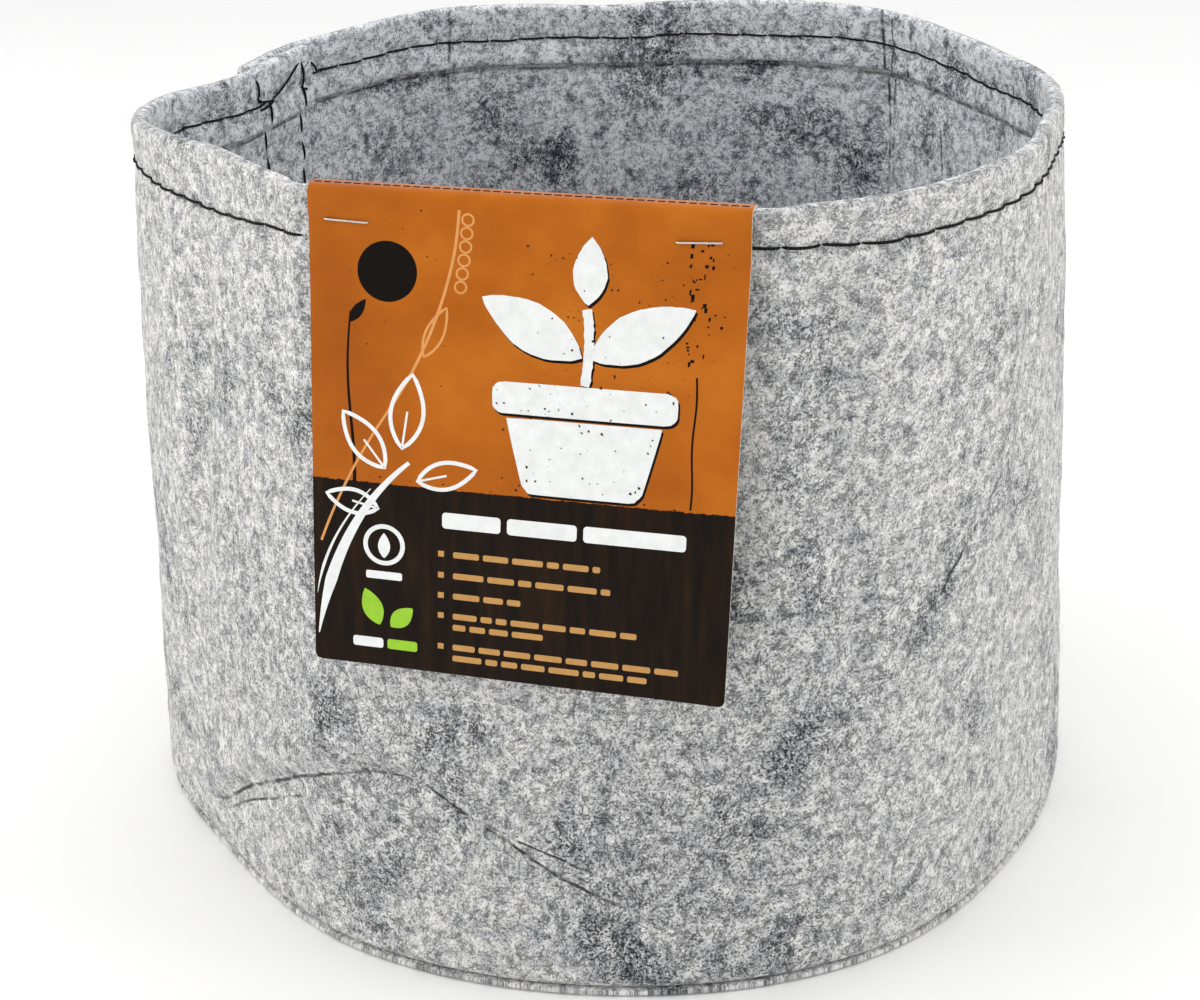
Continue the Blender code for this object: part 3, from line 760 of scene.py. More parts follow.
def make_wall():
    angle = np.linspace(SEAM_OUTER_END, SEAM_OUTER_END - 360 - LAP_ANGLE, WALL_COLUMNS)
    out, z, face = wall_rows(angle)
    columns, rows = out.shape
    around = np.repeat(angle[:, None], rows, 1)
    side = np.broadcast_to(face, z.shape)
    below_rim = rim_height(around) - z
    beside = beside_card(around, 20, 5)
    pinch = 0.00045 * bell(below_rim - stitch_drop(around), 0.0042)
    pinch += 0.0011 * hole_pucker(around, below_rim)
    strip = np.stack((around / DEGREES_PER_METRE, z, side * 0.05), -1).reshape(-1, 3)
    lumps = wave_noise(strip, 0.011, 9, 3).reshape(z.shape)
    skin = side * (0.00016 * lumps * smooth_step((z - 0.004) / 0.01) - pinch * beside)
    rim_wave = 0.0007 * wave_noise(round_bag(angle, 0 * angle), 0.06, 12, 2)
    z = z + rim_wave[:, None] * beside * smooth_step(1 - below_rim / 0.03)
    points = wall_place(around, z, out + skin)
    along = np.repeat(((SEAM_OUTER_END - angle) / DEGREES_PER_METRE)[:, None], rows, 1)
    section = np.broadcast_to(distances(np.stack((out[0], z[0]), -1)), z.shape)
    uvs = np.stack((along, section), -1).reshape(-1, 2)
    faces = [*grid_faces(columns, rows), range(rows), range((columns - 1) * rows, columns * rows)]
    wall = new_mesh_object("felt_wall", points.reshape(-1, 3), faces, "bag", uvs)
    face_outwards(wall)
    for name, values in felt_marks(around, z, side, below_rim).items():
        attribute = wall.data.attributes.new(name, "FLOAT", "POINT")
        attribute.data.foreach_set("value", values.ravel().astype(np.float32))
    return wall


def felt_marks(around, z, side, below_rim):
    """For each point: its signed distance from the nearest painted crease-shade line of each layer,
    in units of LINE_REACH; how strongly those lines show; darker fibre, with painted shade over the
    low front; 1 inside the bag; and up to 1 on the painted shadow line just under the hem's edge
    inside."""
    angle = wrapped(around)
    nearest = np.full((2, *z.shape), LINE_REACH)
    signed = np.ones((2, *z.shape))
    crease_shade = np.zeros_like(z)
    for path, line_side, layer, fade_in, fade_out in CREASE_SHADE_LINES:
        away, sign, share = near_path(angle, z, path)
        same_side = side * line_side > 0
        closer = (away < nearest[layer]) & same_side
        nearest[layer] = np.where(closer, away, nearest[layer])
        signed[layer] = np.where(closer, sign * away / LINE_REACH, signed[layer])
        shows = faded(share, fade_in, fade_out) * smooth_step((0.0052 - away) / 0.002)
        crease_shade = np.maximum(crease_shade, shows * same_side)
    dark = np.zeros_like(z)
    for middle, height, width, strength in DARK_FIBRE_AND_SHADE_SPOTS:
        across = wrapped(angle - middle) / DEGREES_PER_METRE
        spot = bell(across, width / 1000) * bell(z - height / 1000, width / 1000)
        dark = np.maximum(dark, strength * spot)
    dark = np.maximum(dark, 0.5 * hole_pucker(around, below_rim))
    inside = (side < 0).astype(float)
    # Painted shadow: a band just under the hem's edge, on the inside faces
    hem_edge_shadow = inside * np.clip(1 - np.abs(below_rim - HEM_DEPTH - 0.002) / 0.0025, 0, 1)
    return {
        "line_1": signed[0], "line_2": signed[1], "crease_shade": crease_shade, "dark": dark,
        "inside": inside, "hem_edge_shadow": hem_edge_shadow,
    }


def make_base(felt):
    """The base disc, a slightly lumpy round of thinner felt with a cut edge."""
    angle = np.linspace(0, 360, 361)[:-1]
    spots = (-0.150, -0.125, -0.100, -0.075, -0.050, -0.030, -0.012, -0.004, -0.0014)
    profile = [(spot, 0.0) for spot in spots]
    profile += [(-0.0009, 0.0005), (-0.0008, 0.0011), (-0.0009, 0.0017)]
    profile += [(spot, BASE_FELT) for spot in sorted((*spots, -0.022), reverse=True)]
    level = np.full_like(angle, FOOT_CENTRE_Z)
    edge = outline_point(angle, level)
    centre = edge.mean(axis=0)
    rings = []
    for outwards, height in profile:
        share = 1 + outwards / np.linalg.norm((edge - centre)[:, :2], axis=1)
        share = np.maximum(share, 0.012 - 0.01 * (outwards + 0.15))
        ring = centre + (edge - centre) * share[:, None]
        ring[:, 2] = height
        rings.append(ring)
    points = np.stack(rings, 1)
    inside = smooth_step((0.95 - np.linalg.norm((points - centre)[..., :2], axis=-1) / 0.15) / 0.2)
    flat = points.reshape(-1, 3) * (1, 1, 0)
    lift = 0.0011 * wave_noise(flat, 0.07, 31, 3).reshape(points.shape[:2])
    points[..., 2] += np.abs(lift) * inside
    columns, rows = points.shape[:2]
    uvs = (points[..., :2] + 2).reshape(-1, 2)
    faces = list(grid_faces(columns, rows, False, True))
    faces += [range(0, columns * rows, rows), range(columns * rows - 1, 0, -rows)]
    base = new_mesh_object("felt_base", points.reshape(-1, 3), faces, "bag", uvs)
    face_outwards(base)
    base.data.materials.append(felt)
    return base


# Stitches


def sewn(places, steps=12):
    """Along a row of needle holes: position, how far up out of the felt (0 to 1), share of the
    stitch gone, and the stitch's number."""
    number = np.repeat(np.arange(len(places) - 1), steps)
    share = np.tile(np.arange(steps) / steps, len(places) - 1)
    where = places[number] + (places[number + 1] - places[number]) * share
    where = np.append(where, places[-1])
    share = np.append(share, 0.0)
    number = np.append(number, len(places) - 2)
    return where, np.sin(math.pi * share) ** 0.40, share, number


def stitched(angle, z, face, inside, rise, depth, proud):
    """A thread's path: sunk by depth at its holes, and proud of the face, in thread widths."""
    sunk = rise * (depth + THREAD * proud) - depth
    return wall_place(angle, z, face - sunk if inside else face + sunk)


def stitch_width(rise, radius):
    return radius * (0.62 + 0.38 * rise)


def hem_path(inside):
    """The hem's row: every stitch leans a little and lies between two shared needle holes."""
    reach = LAP_ANGLE if inside else 0.0
    short = LAP_ANGLE - SEAM_ROW_INSET * DEGREES_PER_METRE if inside else 0.0
    first, last = SEAM_OUTER_END - reach - 0.6, SEAM_OUTER_END - reach - 359.4 + short
    holes = HEM_HOLES[(HEM_HOLES < first) & (HEM_HOLES > last)]
    holes = np.concatenate(([first], holes, [last]))
    angle, rise, share, number = sewn(holes)
    jog = np.random.default_rng(8).uniform(-0.0002, 0.0002, len(holes))[number]
    lean = -0.0004 if inside else 0.0004
    z = rim_height(angle) - stitch_drop(angle) + 0.0003 * np.sin(angle / 3.1)
    z = z + rise * (jog + lean * (share - 0.5))
    face = -tucked(angle) * HEM_PITCH - (HEM_THICKNESS if inside else 0)
    return stitched(angle, z, face, inside, rise, 0.0018, -0.2), rise


def seam_row_path(row, inside):
    """One row of the side seam, from the foot up to the hem's row."""
    inset = SEAM_ROW_INSET if row == 1 else SEAM_LAP - SEAM_ROW_INSET
    middle = SEAM_OUTER_END - inset * DEGREES_PER_METRE
    rim = float(rim_height(middle))
    top = rim - HEM_STITCH_DEPTH
    heights = np.linspace(0.014, top, int((top - 0.014) / 0.0096) + 1)
    z, rise, share, _ = sewn(heights)
    angle = middle + 0.35 * np.sin(z * 90) + 0.2 * np.sin(z * 310) + 0.25 * rise * (share - 0.5)
    if inside:
        stepped = smooth_step((z - (rim - HEM_BLEND_LOW)) / 0.012)
        on_hem = smooth_step((z - (rim - HEM_DEPTH) + 0.001) / 0.002)
        face = -LAYER_PITCH - FELT - stepped * (HEM_PITCH + PRESSED_FELT - LAYER_PITCH - FELT)
        face = face - on_hem * (HEM_THICKNESS - PRESSED_FELT)
    else:
        face = 0
    return stitched(angle, z, face, inside, rise, 0.0016, 0.25), rise


def tack_path(inside):
    """The stitches that lock the side seam where the hem's row crosses it. The buried one goes
    through the felt without showing."""
    buried = 8
    start = SEAM_OUTER_END - SEAM_ROW_INSET * DEGREES_PER_METRE
    span = -(SEAM_LAP - 2 * SEAM_ROW_INSET) * DEGREES_PER_METRE
    if inside:
        shares = np.array((-0.38, -0.38, -0.36, 0.08, -0.33, 0.1, 0.91, 0.94, 1.04, 1.19, 1.32))
        rises = np.array((9.3, 2.2, 1.4, -0.3, -1.9, -0.2, 8.7, -1.9, -2.2, 6.5, 1.7)) / 1000
    else:
        shares = np.array((-0.12, -0.1, 0.3, 0.75, 0.95, 0.93, 1.2, 0.9, 0.4))
        rises = np.array((8.0, -3.0, -1.0, 5.0, 8.5, -3.0, 5.0, 1.0, -1.5)) / 1000
    step, rise, _, number = sewn(np.arange(len(shares), dtype=float))
    rise = rise * (number != buried)
    angle = start + span * np.interp(step, np.arange(len(shares)), shares)
    z = rim_height(angle) - HEM_STITCH_DEPTH + np.interp(step, np.arange(len(shares)), rises)
    face = -HEM_PITCH - HEM_THICKNESS if inside else 0
    return stitched(angle, z, face, inside, rise, 0.0012, 0.9), rise


def base_seam_path(underneath):
    """The row that joins the wall's turned-in foot to the base."""
    first = SEAM_OUTER_END - LAP_ANGLE
    angle, rise, _, _ = sewn(stitch_angles(first - 0.8, first - 359.2, 0.0105, 14))
    path = wall_place(angle, np.full_like(angle, FOOT_CENTRE_Z), -FOOT_STITCH_INSET)
    if underneath:
        path[:, 2] = 0.0018 - rise * (0.0017 - THREAD / 2)
    else:
        top = FLANGE_UNDERSIDE + FELT + tucked_foot(angle) * LAYER_PITCH
        path[:, 2] = top - 0.0016 + rise * (0.0016 + THREAD * 0.3)
    return path, rise


def make_thread(name, sewn_path, material, node):
    path, rise = sewn_path
    points, faces, uvs = tube_mesh([path], [stitch_width(rise, THREAD / 2)], 8)
    thread = new_mesh_object(name, points, faces, "bag", uvs)
    thread.data.materials.append(material)
    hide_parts(node)


def make_threads():
    black = thread_material()
    for inside, side, part in ((False, "outside", "needle"), (True, "inside", "bobbin")):
        make_thread(f"hem_stitches_{side}", hem_path(inside), black, f"hem_{part}_thread")
        make_thread(f"seam_tack_{side}", tack_path(inside), black, f"seam_tack_{part}_thread")
        for row in (1, 2):
            path = seam_row_path(row, inside)
            node = f"side_seam_{row}_{part}_thread"
            make_thread(f"side_seam_{row}_stitches_{side}", path, black, node)
    for below, side, part in ((False, "inside", "needle"), (True, "underneath", "bobbin")):
        node = f"base_seam_{part}_thread"
        make_thread(f"base_seam_stitches_{side}", base_seam_path(below), black, node)


# The header card. x runs along its top edge, s down its face from the middle of the fold.

HINGES = {joint["name"]: joint for joint in frame["joints"]}
FRONT_CREASE = np.array(HINGES["card_front_lift"]["pos_m"], float)
BACK_CREASE = np.array(HINGES["card_inner_lift"]["pos_m"], float)
ALONG = np.array(HINGES["card_inner_lift"]["axis"], float)
INWARDS = np.array((-ALONG[1], ALONG[0], 0.0))
FOLD_DEPTH = float((BACK_CREASE - FRONT_CREASE) @ INWARDS)
FOLD_TOP = CARD_CREASE_DEPTH + LAYER_GAP + CARD_THICKNESS - CARD_PINCH
FOLD_CORNER = 0.0026
CORNER_Z = FOLD_TOP - FOLD_CORNER
FOLD_MIDDLE = 0.0046
BACK_CORNER = 0.0060
FRONT_LENGTH = 0.1205
INNER_LENGTH = CARD_INNER_DROP - CARD_CREASE_DEPTH
PRINT_TOP = 0.0039
COLOUR_SPLIT = 0.0845
CARD_STEP = 0.0004
UP = np.array((0, 0, 1.0))


def walk(start, heading):
    """A path of even steps by the heading of each, 0 straight down, positive towards -y."""
    return start - np.cumsum(np.stack((np.sin(heading), np.cos(heading)), -1) * CARD_STEP, axis=0)


def fold_corner(centre_y, start, end):
    turn = np.radians(np.linspace(start, end, 14))
    y, z = FOLD_CORNER * np.cos(turn), FOLD_CORNER * np.sin(turn)
    return np.stack((centre_y + y, CORNER_Z + z), -1)


def front_profile():
    """(y, z) of the card's outer face from the fold's middle to its lower edge, from the crease."""
    past = np.arange(0, CORNER_Z + FRONT_LENGTH, CARD_STEP) - CORNER_Z
    bow = 0.012 * np.sin(np.clip(past, 0, None) / FRONT_LENGTH * math.pi * 1.6)
    heading = CARD_SPLAY * smooth_step((past + 0.004) / 0.008) + bow
    top = [(FOLD_MIDDLE, FOLD_TOP), (FOLD_CORNER, FOLD_TOP)]
    corner = fold_corner(FOLD_CORNER, 90, 180)[1:]
    return np.concatenate((top, corner, walk((0, CORNER_Z), heading)))


def back_profile():
    corner = fold_corner(BACK_CORNER, 90, 14)
    lower = np.array((FOLD_DEPTH, 0.0))
    slope = corner[-1] + (lower - corner[-1]) * np.linspace(0, 1, 30)[1:, None]
    past = np.arange(0, INNER_LENGTH, CARD_STEP)
    heading = -0.05 + 0.10 * smooth_step(past / 0.02) - 0.06 * smooth_step((past - 0.02) / 0.02)
    return np.concatenate(([(FOLD_MIDDLE, FOLD_TOP)], corner, slope, walk(lower, heading)))


def card_place(x, y, z):
    """Points by their places along the top edge, inwards and up from the front crease."""
    x, y, z = (np.asarray(value)[..., None] for value in (x, y, z))
    return FRONT_CREASE + x * ALONG + y * INWARDS + z * UP


class CardFace:
    """One half of the card as a surface: x and s to a point, raised by lift from its outer face."""

    def __init__(self, profile, side, twist, lean):
        self.profile = profile
        run = unit(np.gradient(profile, axis=0))
        self.normal = side * np.stack((run[:, 1], -run[:, 0]), -1)
        self.distance = distances(profile)
        self.length = self.distance[-1]
        self.twist, self.lean = twist, lean

    def __call__(self, x, s, lift=0.0):
        y, z = (np.interp(s, self.distance, self.profile[:, k]) for k in (0, 1))
        out_y, out_z = (np.interp(s, self.distance, self.normal[:, k]) for k in (0, 1))
        hang = np.clip(-z / FRONT_LENGTH, 0, 1)
        share = x / (CARD_WIDTH / 2)
        warp = self.twist * share * hang + 0.0006 * (1 - share**2) * smooth_step(hang / 0.2)
        warp = warp + 0.0007 * np.abs(share) ** 6 * hang**4
        stapled = bell(z - CARD_CREASE_DEPTH + STAPLE_DEPTH, 0.0011)
        warp = warp - 0.00025 * stapled * smooth_step((np.abs(share) - 0.62) / 0.1)
        raised = lift + warp
        return card_place(x + self.lean * hang, y + raised * out_y, z + raised * out_z)


def make_card_half(name, surface, inks, nodes):
    """A thin slab of card with rounded lower corners, which bends at its crease."""
    columns = 49
    corner_rows = surface.length - CARD_CORNER_RADIUS * np.array((0.15, 0.35, 0.6, 0.85))
    lower = np.linspace(0.024, surface.length, 40)[1:]
    rows = np.sort(np.concatenate((np.linspace(0, 0.024, 34), lower, corner_rows)))
    from_end = np.clip(CARD_CORNER_RADIUS - (surface.length - rows), 0, CARD_CORNER_RADIUS)
    half = CARD_WIDTH / 2 - CARD_CORNER_RADIUS + np.sqrt(CARD_CORNER_RADIUS**2 - from_end**2)
    x = np.linspace(-1, 1, columns)[:, None] * half[None, :]
    s = np.broadcast_to(rows[None, :], x.shape)
    outer = surface(x, s).reshape(-1, 3)
    inner = surface(x, s, -CARD_THICKNESS).reshape(-1, 3)
    count, row_count = len(outer), len(rows)
    face = grid_faces(columns, row_count, False)
    faces = [tuple(f) for f in face] + [tuple(f[::-1] + count) for f in face]
    border = [*range(0, count, row_count), *range(count - row_count + 1, count)]
    border += [*range(count - row_count - 1, 0, -row_count), *range(row_count - 2, 0, -1)]
    for a, b in zip(border, border[1:] + border[:1]):
        faces.append((a, b, b + count, a + count))
    uv = np.stack((x + CARD_WIDTH / 2, s), -1).reshape(-1, 2)
    points = np.concatenate((outer, inner))
    card = new_mesh_object(name, points, faces, None, np.concatenate((uv, uv)))
    face_outwards(card)
    for ink in inks:
        card.data.materials.append(ink)
    printed = np.zeros(len(faces), dtype=np.int32)
    printed[len(face):] = 1
    card.data.polygons.foreach_set("material_index", printed)
    card.data.set_sharp_from_angle(angle=math.radians(50))
    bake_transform(card)
    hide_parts(*nodes)


def leaf(x, v, length, width, turn):
    """A pointed leaf from its foot at (x, v); turn 0 points up, positive to the right."""
    t = np.linspace(0, 1, 15)
    half = width / 2 * np.sin(math.pi * t) ** 0.8 * (1 - 0.25 * t)
    left = np.stack((-half, t * length), -1)
    right = left[-2:0:-1] * (-1, 1)
    c, s = math.cos(math.radians(turn)), math.sin(math.radians(turn))
    return [(x + c * a + s * b, v + s * a - c * b) for a, b in (*left, *right)]


def bar(left, right, top, height, round_share=0.35):
    """A block with rounded corners."""
    r = height * round_share
    left, right, top, bottom = left + r, right - r, top + r, top + height - r
    corners = ((right, top, -90), (right, bottom, 0), (left, bottom, 90), (left, top, 180))
    turns = ((x, v, math.radians(a + k * 22.5)) for x, v, a in corners for k in range(5))
    return [(x + r * math.cos(turn), v + r * math.sin(turn)) for x, v, turn in turns]


def disc(x, v, radius, sides=36):
    turns = np.arange(sides) * math.tau / sides
    return [(x + radius * math.cos(turn), v + radius * math.sin(turn)) for turn in turns]


def stroke(points, widths):
    """A band along the points. A closed line is given with its first point again at the end."""
    points = np.asarray(points, float)
    widths = np.broadcast_to(np.asarray(widths, float), len(points))[:, None] / 2
    run = np.gradient(points, axis=0)
    parts = [slice(None)]
    if np.allclose(points[0], points[-1]):
        run[0] = run[-1] = points[1] - points[-2]
        middle = len(points) // 2
        parts = [slice(middle + 1), slice(middle, None)]
    run = unit(run)
    side = np.stack((-run[:, 1], run[:, 0]), -1) * widths
    left, right = points + side, points - side
    return [np.concatenate((left[part], right[part][::-1])).tolist() for part in parts]


def outline(shape, width):
    return stroke(list(shape) + [shape[0]], width)


def curve(start, handle, end, steps=24):
    t = np.linspace(0, 1, steps)[:, None]
    start, handle, end = map(np.array, (start, handle, end))
    return (1 - t) ** 2 * start + 2 * t * (1 - t) * handle + t**2 * end


def wavy(x, sway, turns, top, bottom, steps):
    """A line down the card that sways to one side and the other."""
    waves = x + sway * np.sin(np.linspace(0, turns, steps))
    return np.stack((waves, np.linspace(top, bottom, steps)), -1)


def words(left, right, v, height, seed):
    """A line of blocks in place of words."""
    rng = np.random.default_rng(seed)
    blocks = []
    x = left
    while x < right - 2.0:
        end = min(x + rng.uniform(3.0, 9.0), right)
        blocks.append(bar(x, end, v, height, 0.3))
        x = end + 1.1
    return blocks


def specks(count, box, largest, seed):
    """Small irregular flecks of ink inside a box of (left, top, right, bottom)."""
    rng = np.random.default_rng(seed)
    shapes = []
    for _ in range(count):
        x, v = rng.uniform(box[0], box[2]), rng.uniform(box[1], box[3])
        size = largest * rng.uniform(0.25, 1) ** 2
        turns = np.sort(rng.uniform(0, math.tau, 6))
        reach = size * rng.uniform(0.6, 1, (6, 2)) * np.stack((np.cos(turns), np.sin(turns)), -1)
        shapes.append((reach + (x, v)).tolist())
    return shapes


def roughened(shape, seed, spacing=0.9, amount=0.16):
    """The outline cut into short runs and roughened unevenly, as by a hand-cut printing block."""
    rng = np.random.default_rng(seed)
    points = []
    for start, end in zip(shape, list(shape[1:]) + [shape[0]]):
        start, end = np.array(start), np.array(end)
        runs = max(1, int(np.linalg.norm(end - start) / spacing))
        for k in range(runs):
            points.append(start + (end - start) * k / runs + rng.uniform(-amount, amount, 2))
    return [tuple(p) for p in points]


def shifted(shape, right, down):
    return [(x + right, v + down) for x, v in shape]


def artwork():
    """The card's own plain picture, in mm from the middle of its width and from its top edge: for
    each ink, how high its film lies in hundredths of a mm, and its shapes."""
    plant = [
        bar(-8, 42, 49, 8.5, 0.3),
        [(-4, 58.8), (38, 58.8), (33.5, 77), (31.5, 79.5), (2.5, 79.5), (0.5, 77)],
        leaf(16.0, 41, 31, 15, -62), leaf(18.0, 41, 31, 15, 62), leaf(17, 27, 18, 10.5, 2),
    ]
    plant += stroke(curve((17, 48.6), (18.5, 38), (17, 28)), 2.6)
    plant = [roughened(shape, 60 + k) for k, shape in enumerate(plant)]
    white = list(plant)
    sprig = (
        (-38, 76, 19, 9.5, -38), (-33, 70, 21, 10.5, 8),
        (-28.5, 79, 17, 8.5, 74), (-40, 88, 15, 7.5, -78),
    )
    for foot_x, foot_v, length, width, turn in sprig:
        foot = (foot_x, foot_v)
        shape = leaf(*foot, length, width, turn)
        white += outline(shape, 1.15)
        white += stroke(curve(foot, foot, np.mean(shape, axis=0)), 0.6)
    taper = np.interp(np.linspace(0, 1, 40), (0, 0.25, 1), (0.3, 3.4, 1.1))
    white += stroke(curve((-57.6, 127), (-52, 92), (-31, 74), 40), taper)
    white += stroke(curve((-57.9, 115), (-55.5, 98), (-42, 82.5), 40), taper / 4)
    for left, right in ((-21.5, -5.0), (-3.2, 16.2), (18, 46)):
        white.append(bar(left, right, 87.2, 4.6, 0.22))
    white += outline(disc(-38.2, 98.5, 5.4, 40), 1.3)
    white.append(leaf(-38.2, 102.4, 7.4, 4.0, 0))
    white += [bar(-43.5, -33, 106.4, 2.3, 0.25), bar(-47.5, -38.6, 126.6, 3.0, 0.25)]
    tan = []
    lines = (
        (98.4, 23, True), (104.6, 26, True), (110.6, 1, True), (116.6, 35, True),
        (119.9, 10, False), (125.9, 46, True), (129.2, 37, False),
    )
    for number, (v, right, has_mark) in enumerate(lines):
        tan += words(-18.3, right, v, 1.75, 40 + number)
        if has_mark:
            tan.append(bar(-22.6, -20.9, v, 1.7, 0.05))
    pale = stroke(curve((-17.5, 4), (-20, 34), (-37, 60), 40), 0.8)
    pale += stroke(curve((-37, 60), (-49, 78), (-56.5, 99), 40), 0.7)
    for k in range(6):
        pale += outline(disc(-15.2 - 0.4 * k, 6.5 + 3.6 * k, 1.55, 18), 0.55)
    pale += outline(leaf(-27, 44, 15, 5.5, 24), 0.7)
    black = [disc(-37.3, 21.6, 8.2, 48)]
    black += stroke(wavy(-47.5, -0.9, 5, 33, 81, 40), np.linspace(0.5, 1.0, 40))
    black += stroke(wavy(46.5, 0.3, 9, 44, 80, 30), 0.55)
    black.append(leaf(-47.8, 36, 8, 3.4, 35))
    black += specks(60, (5, 10, 55, 50), 0.6, 4) + specks(30, (-56, 4, -20, 60), 0.4, 5)
    black += [shifted(shape, 0.5, 0.75) for shape in plant]
    rng = np.random.default_rng(11)
    for _ in range(34):
        x, v = rng.uniform(43, 49), rng.uniform(8, 40)
        fleck = bar(x, x + rng.uniform(0.25, 1.1), v, rng.uniform(0.3, 1.9), 0.2)
        black.append(roughened(fleck, 70, 0.5, 0.08))
    wear = specks(120, (-9, 47, 42, 80), 0.62, 3) + specks(70, (-8, 12, 44, 46), 0.5, 8)
    green = [leaf(-39.6, 122.6, 11.5, 6.8, -22), leaf(-36.4, 122.8, 9.0, 6.0, 46)]
    green.append(bar(-37.4, -28.6, 126.6, 3.0, 0.25))
    brown = specks(30, (-56, 78.2, 56, 80.4), 0.55, 6)
    return {
        "white": (4, white), "tan": (3, tan), "pale_orange": (3, pale), "black": (2, black + brown),
        "green": (3, green), "wear": (6, wear),
    }


def make_print(name, shapes, surface, material, lift):
    """A raised film that follows the card's front: ink, and the painted shade of the perforation
    slits.
    """
    shape = bmesh.new()
    for points in shapes:
        shape.faces.new([shape.verts.new((x, v, 0)) for x, v in points])
    bmesh.ops.triangulate(shape, faces=shape.faces[:], ngon_method="EAR_CLIP")
    for normal, reach in (((1, 0, 0), range(-56, 60, 8)), ((0, 1, 0), range(4, 136, 6))):
        for place in reach:
            bmesh.ops.bisect_plane(
                shape, geom=shape.verts[:] + shape.edges[:] + shape.faces[:],
                plane_co=tuple(place * c for c in normal), plane_no=normal,
            )
    shape.verts.index_update()
    flat = np.array([vert.co[:2] for vert in shape.verts]) / 1000
    tops = [tuple(vert.index for vert in face.verts) for face in shape.faces]
    borders = [
        (loop.vert.index, loop.link_loop_next.vert.index)
        for face in shape.faces for loop in face.loops if loop.edge.is_boundary
    ]
    shape.free()
    s = flat[:, 1] + PRINT_TOP
    count = len(flat)
    points = np.concatenate((surface(flat[:, 0], s, lift), surface(flat[:, 0], s, -0.00012)))
    faces = tops + [tuple(i + count for i in reversed(face)) for face in tops]
    faces += [(b, a, a + count, b + count) for a, b in borders]
    uv = np.stack((flat[:, 0], s), -1)
    ink = new_mesh_object(name, points, faces, None, np.concatenate((uv, uv)))
    face_outwards(ink)
    ink.data.shade_flat()
    ink.data.materials.append(material)
    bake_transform(ink)


def card_material():
    """Glossy printed board: orange above, dark brown below, each slightly uneven."""
    n = Nodes("printed card")
    place = n.uv()
    across, down = n.split(place)
    blotch = n.noise(place, 34, 3, 0.6)
    dots = n.noise(place, 2600, 1, 0.5)
    orange = n.ramp(
        blotch * 0.8 + dots * 0.2,
        (0.3, (0.370, 0.090, 0.004)), (0.5, (0.440, 0.115, 0.006)), (0.72, (0.510, 0.148, 0.010)),
    )
    left_edge = n.range(across + blotch * 0.02, 0.006, 0.04, 0.22, 0.0)
    orange = n.mix(left_edge, orange, (0.22, 0.045, 0.006))
    brown = n.ramp(
        n.noise(n.mapping(place, 0.03, (260, 30, 1)), 1.0, 4, 0.6),
        (0.3, (0.004, 0.0015, 0.0005)), (0.55, (0.010, 0.004, 0.001)), (0.8, (0.024, 0.010, 0.002)),
    )
    wobble = (n.noise(place, 420, 4, 0.8) - 0.5) * 0.0012
    below = n.range(down + wobble, COLOUR_SPLIT - 0.0001, COLOUR_SPLIT + 0.0001)
    rub = n.noise(place, 75, 3, 0.5)
    return n.finish(
        n.mix(below, orange, brown), n.range(rub, 0.3, 0.7, 0.24, 0.36),
        n.bump(n.noise(place, 55, 2, 0.4), 0.25, 0.0012), Specular_IOR_Level=0.11,
    )


def plain_material(name, colour, roughness, spread=0.08, scale=300):
    """An even colour with slight mottling, for ink, bare board and the like."""
    n = Nodes(name)
    mottle = n.noise(n.uv(), scale, 4, 0.65)
    low = tuple(c * (1 - spread) for c in colour)
    high = tuple(min(c * (1 + spread), 0.95) for c in colour)
    return n.finish(
        n.ramp(mottle, (0.3, low), (0.7, high)), roughness, n.bump(mottle, 0.1, 0.0001),
        Specular_IOR_Level=0.08,
    )


def make_card():
    printed = card_material()
    board = plain_material("bare board", (0.70, 0.67, 0.60), 0.8, 0.1, 900)
    front = CardFace(front_profile(), 1, 0.0022, -0.0028)
    back = CardFace(back_profile(), -1, 0.0, 0.0)
    make_card_half(
        "card_front", front, (printed, board),
        ("header_card_saddle", "header_card_front_panel"),
    )
    make_card_half(
        "card_back", back, (printed, board), ("header_card_inner_flap",)
    )
    colours = {
        "white": (0.78, 0.80, 0.79), "tan": (0.50, 0.27, 0.09), "pale_orange": (0.68, 0.31, 0.10),
        "black": (0.005, 0.003, 0.002), "green": (0.30, 0.56, 0.04), "wear": (0.035, 0.018, 0.010),
    }
    for name, (height, shapes) in artwork().items():
        ink = plain_material(f"{name} ink", colours[name], 0.32, 0.06, 220)
        make_print(f"print_{name}", shapes, front, ink, height / 100000)
    # Painted shade: dark dashes along the fold's top stand in for the dark of the perforation slits
    dashes = [bar(x, x + 2, -3.7, 1.1, 0.2) for x in np.arange(-58, 56.5, 2.7)]
    cut = plain_material("painted slit shade", (0.012, 0.008, 0.006), 0.9)
    make_print("perforation_slit_shade", dashes, front, cut, 0.00003)


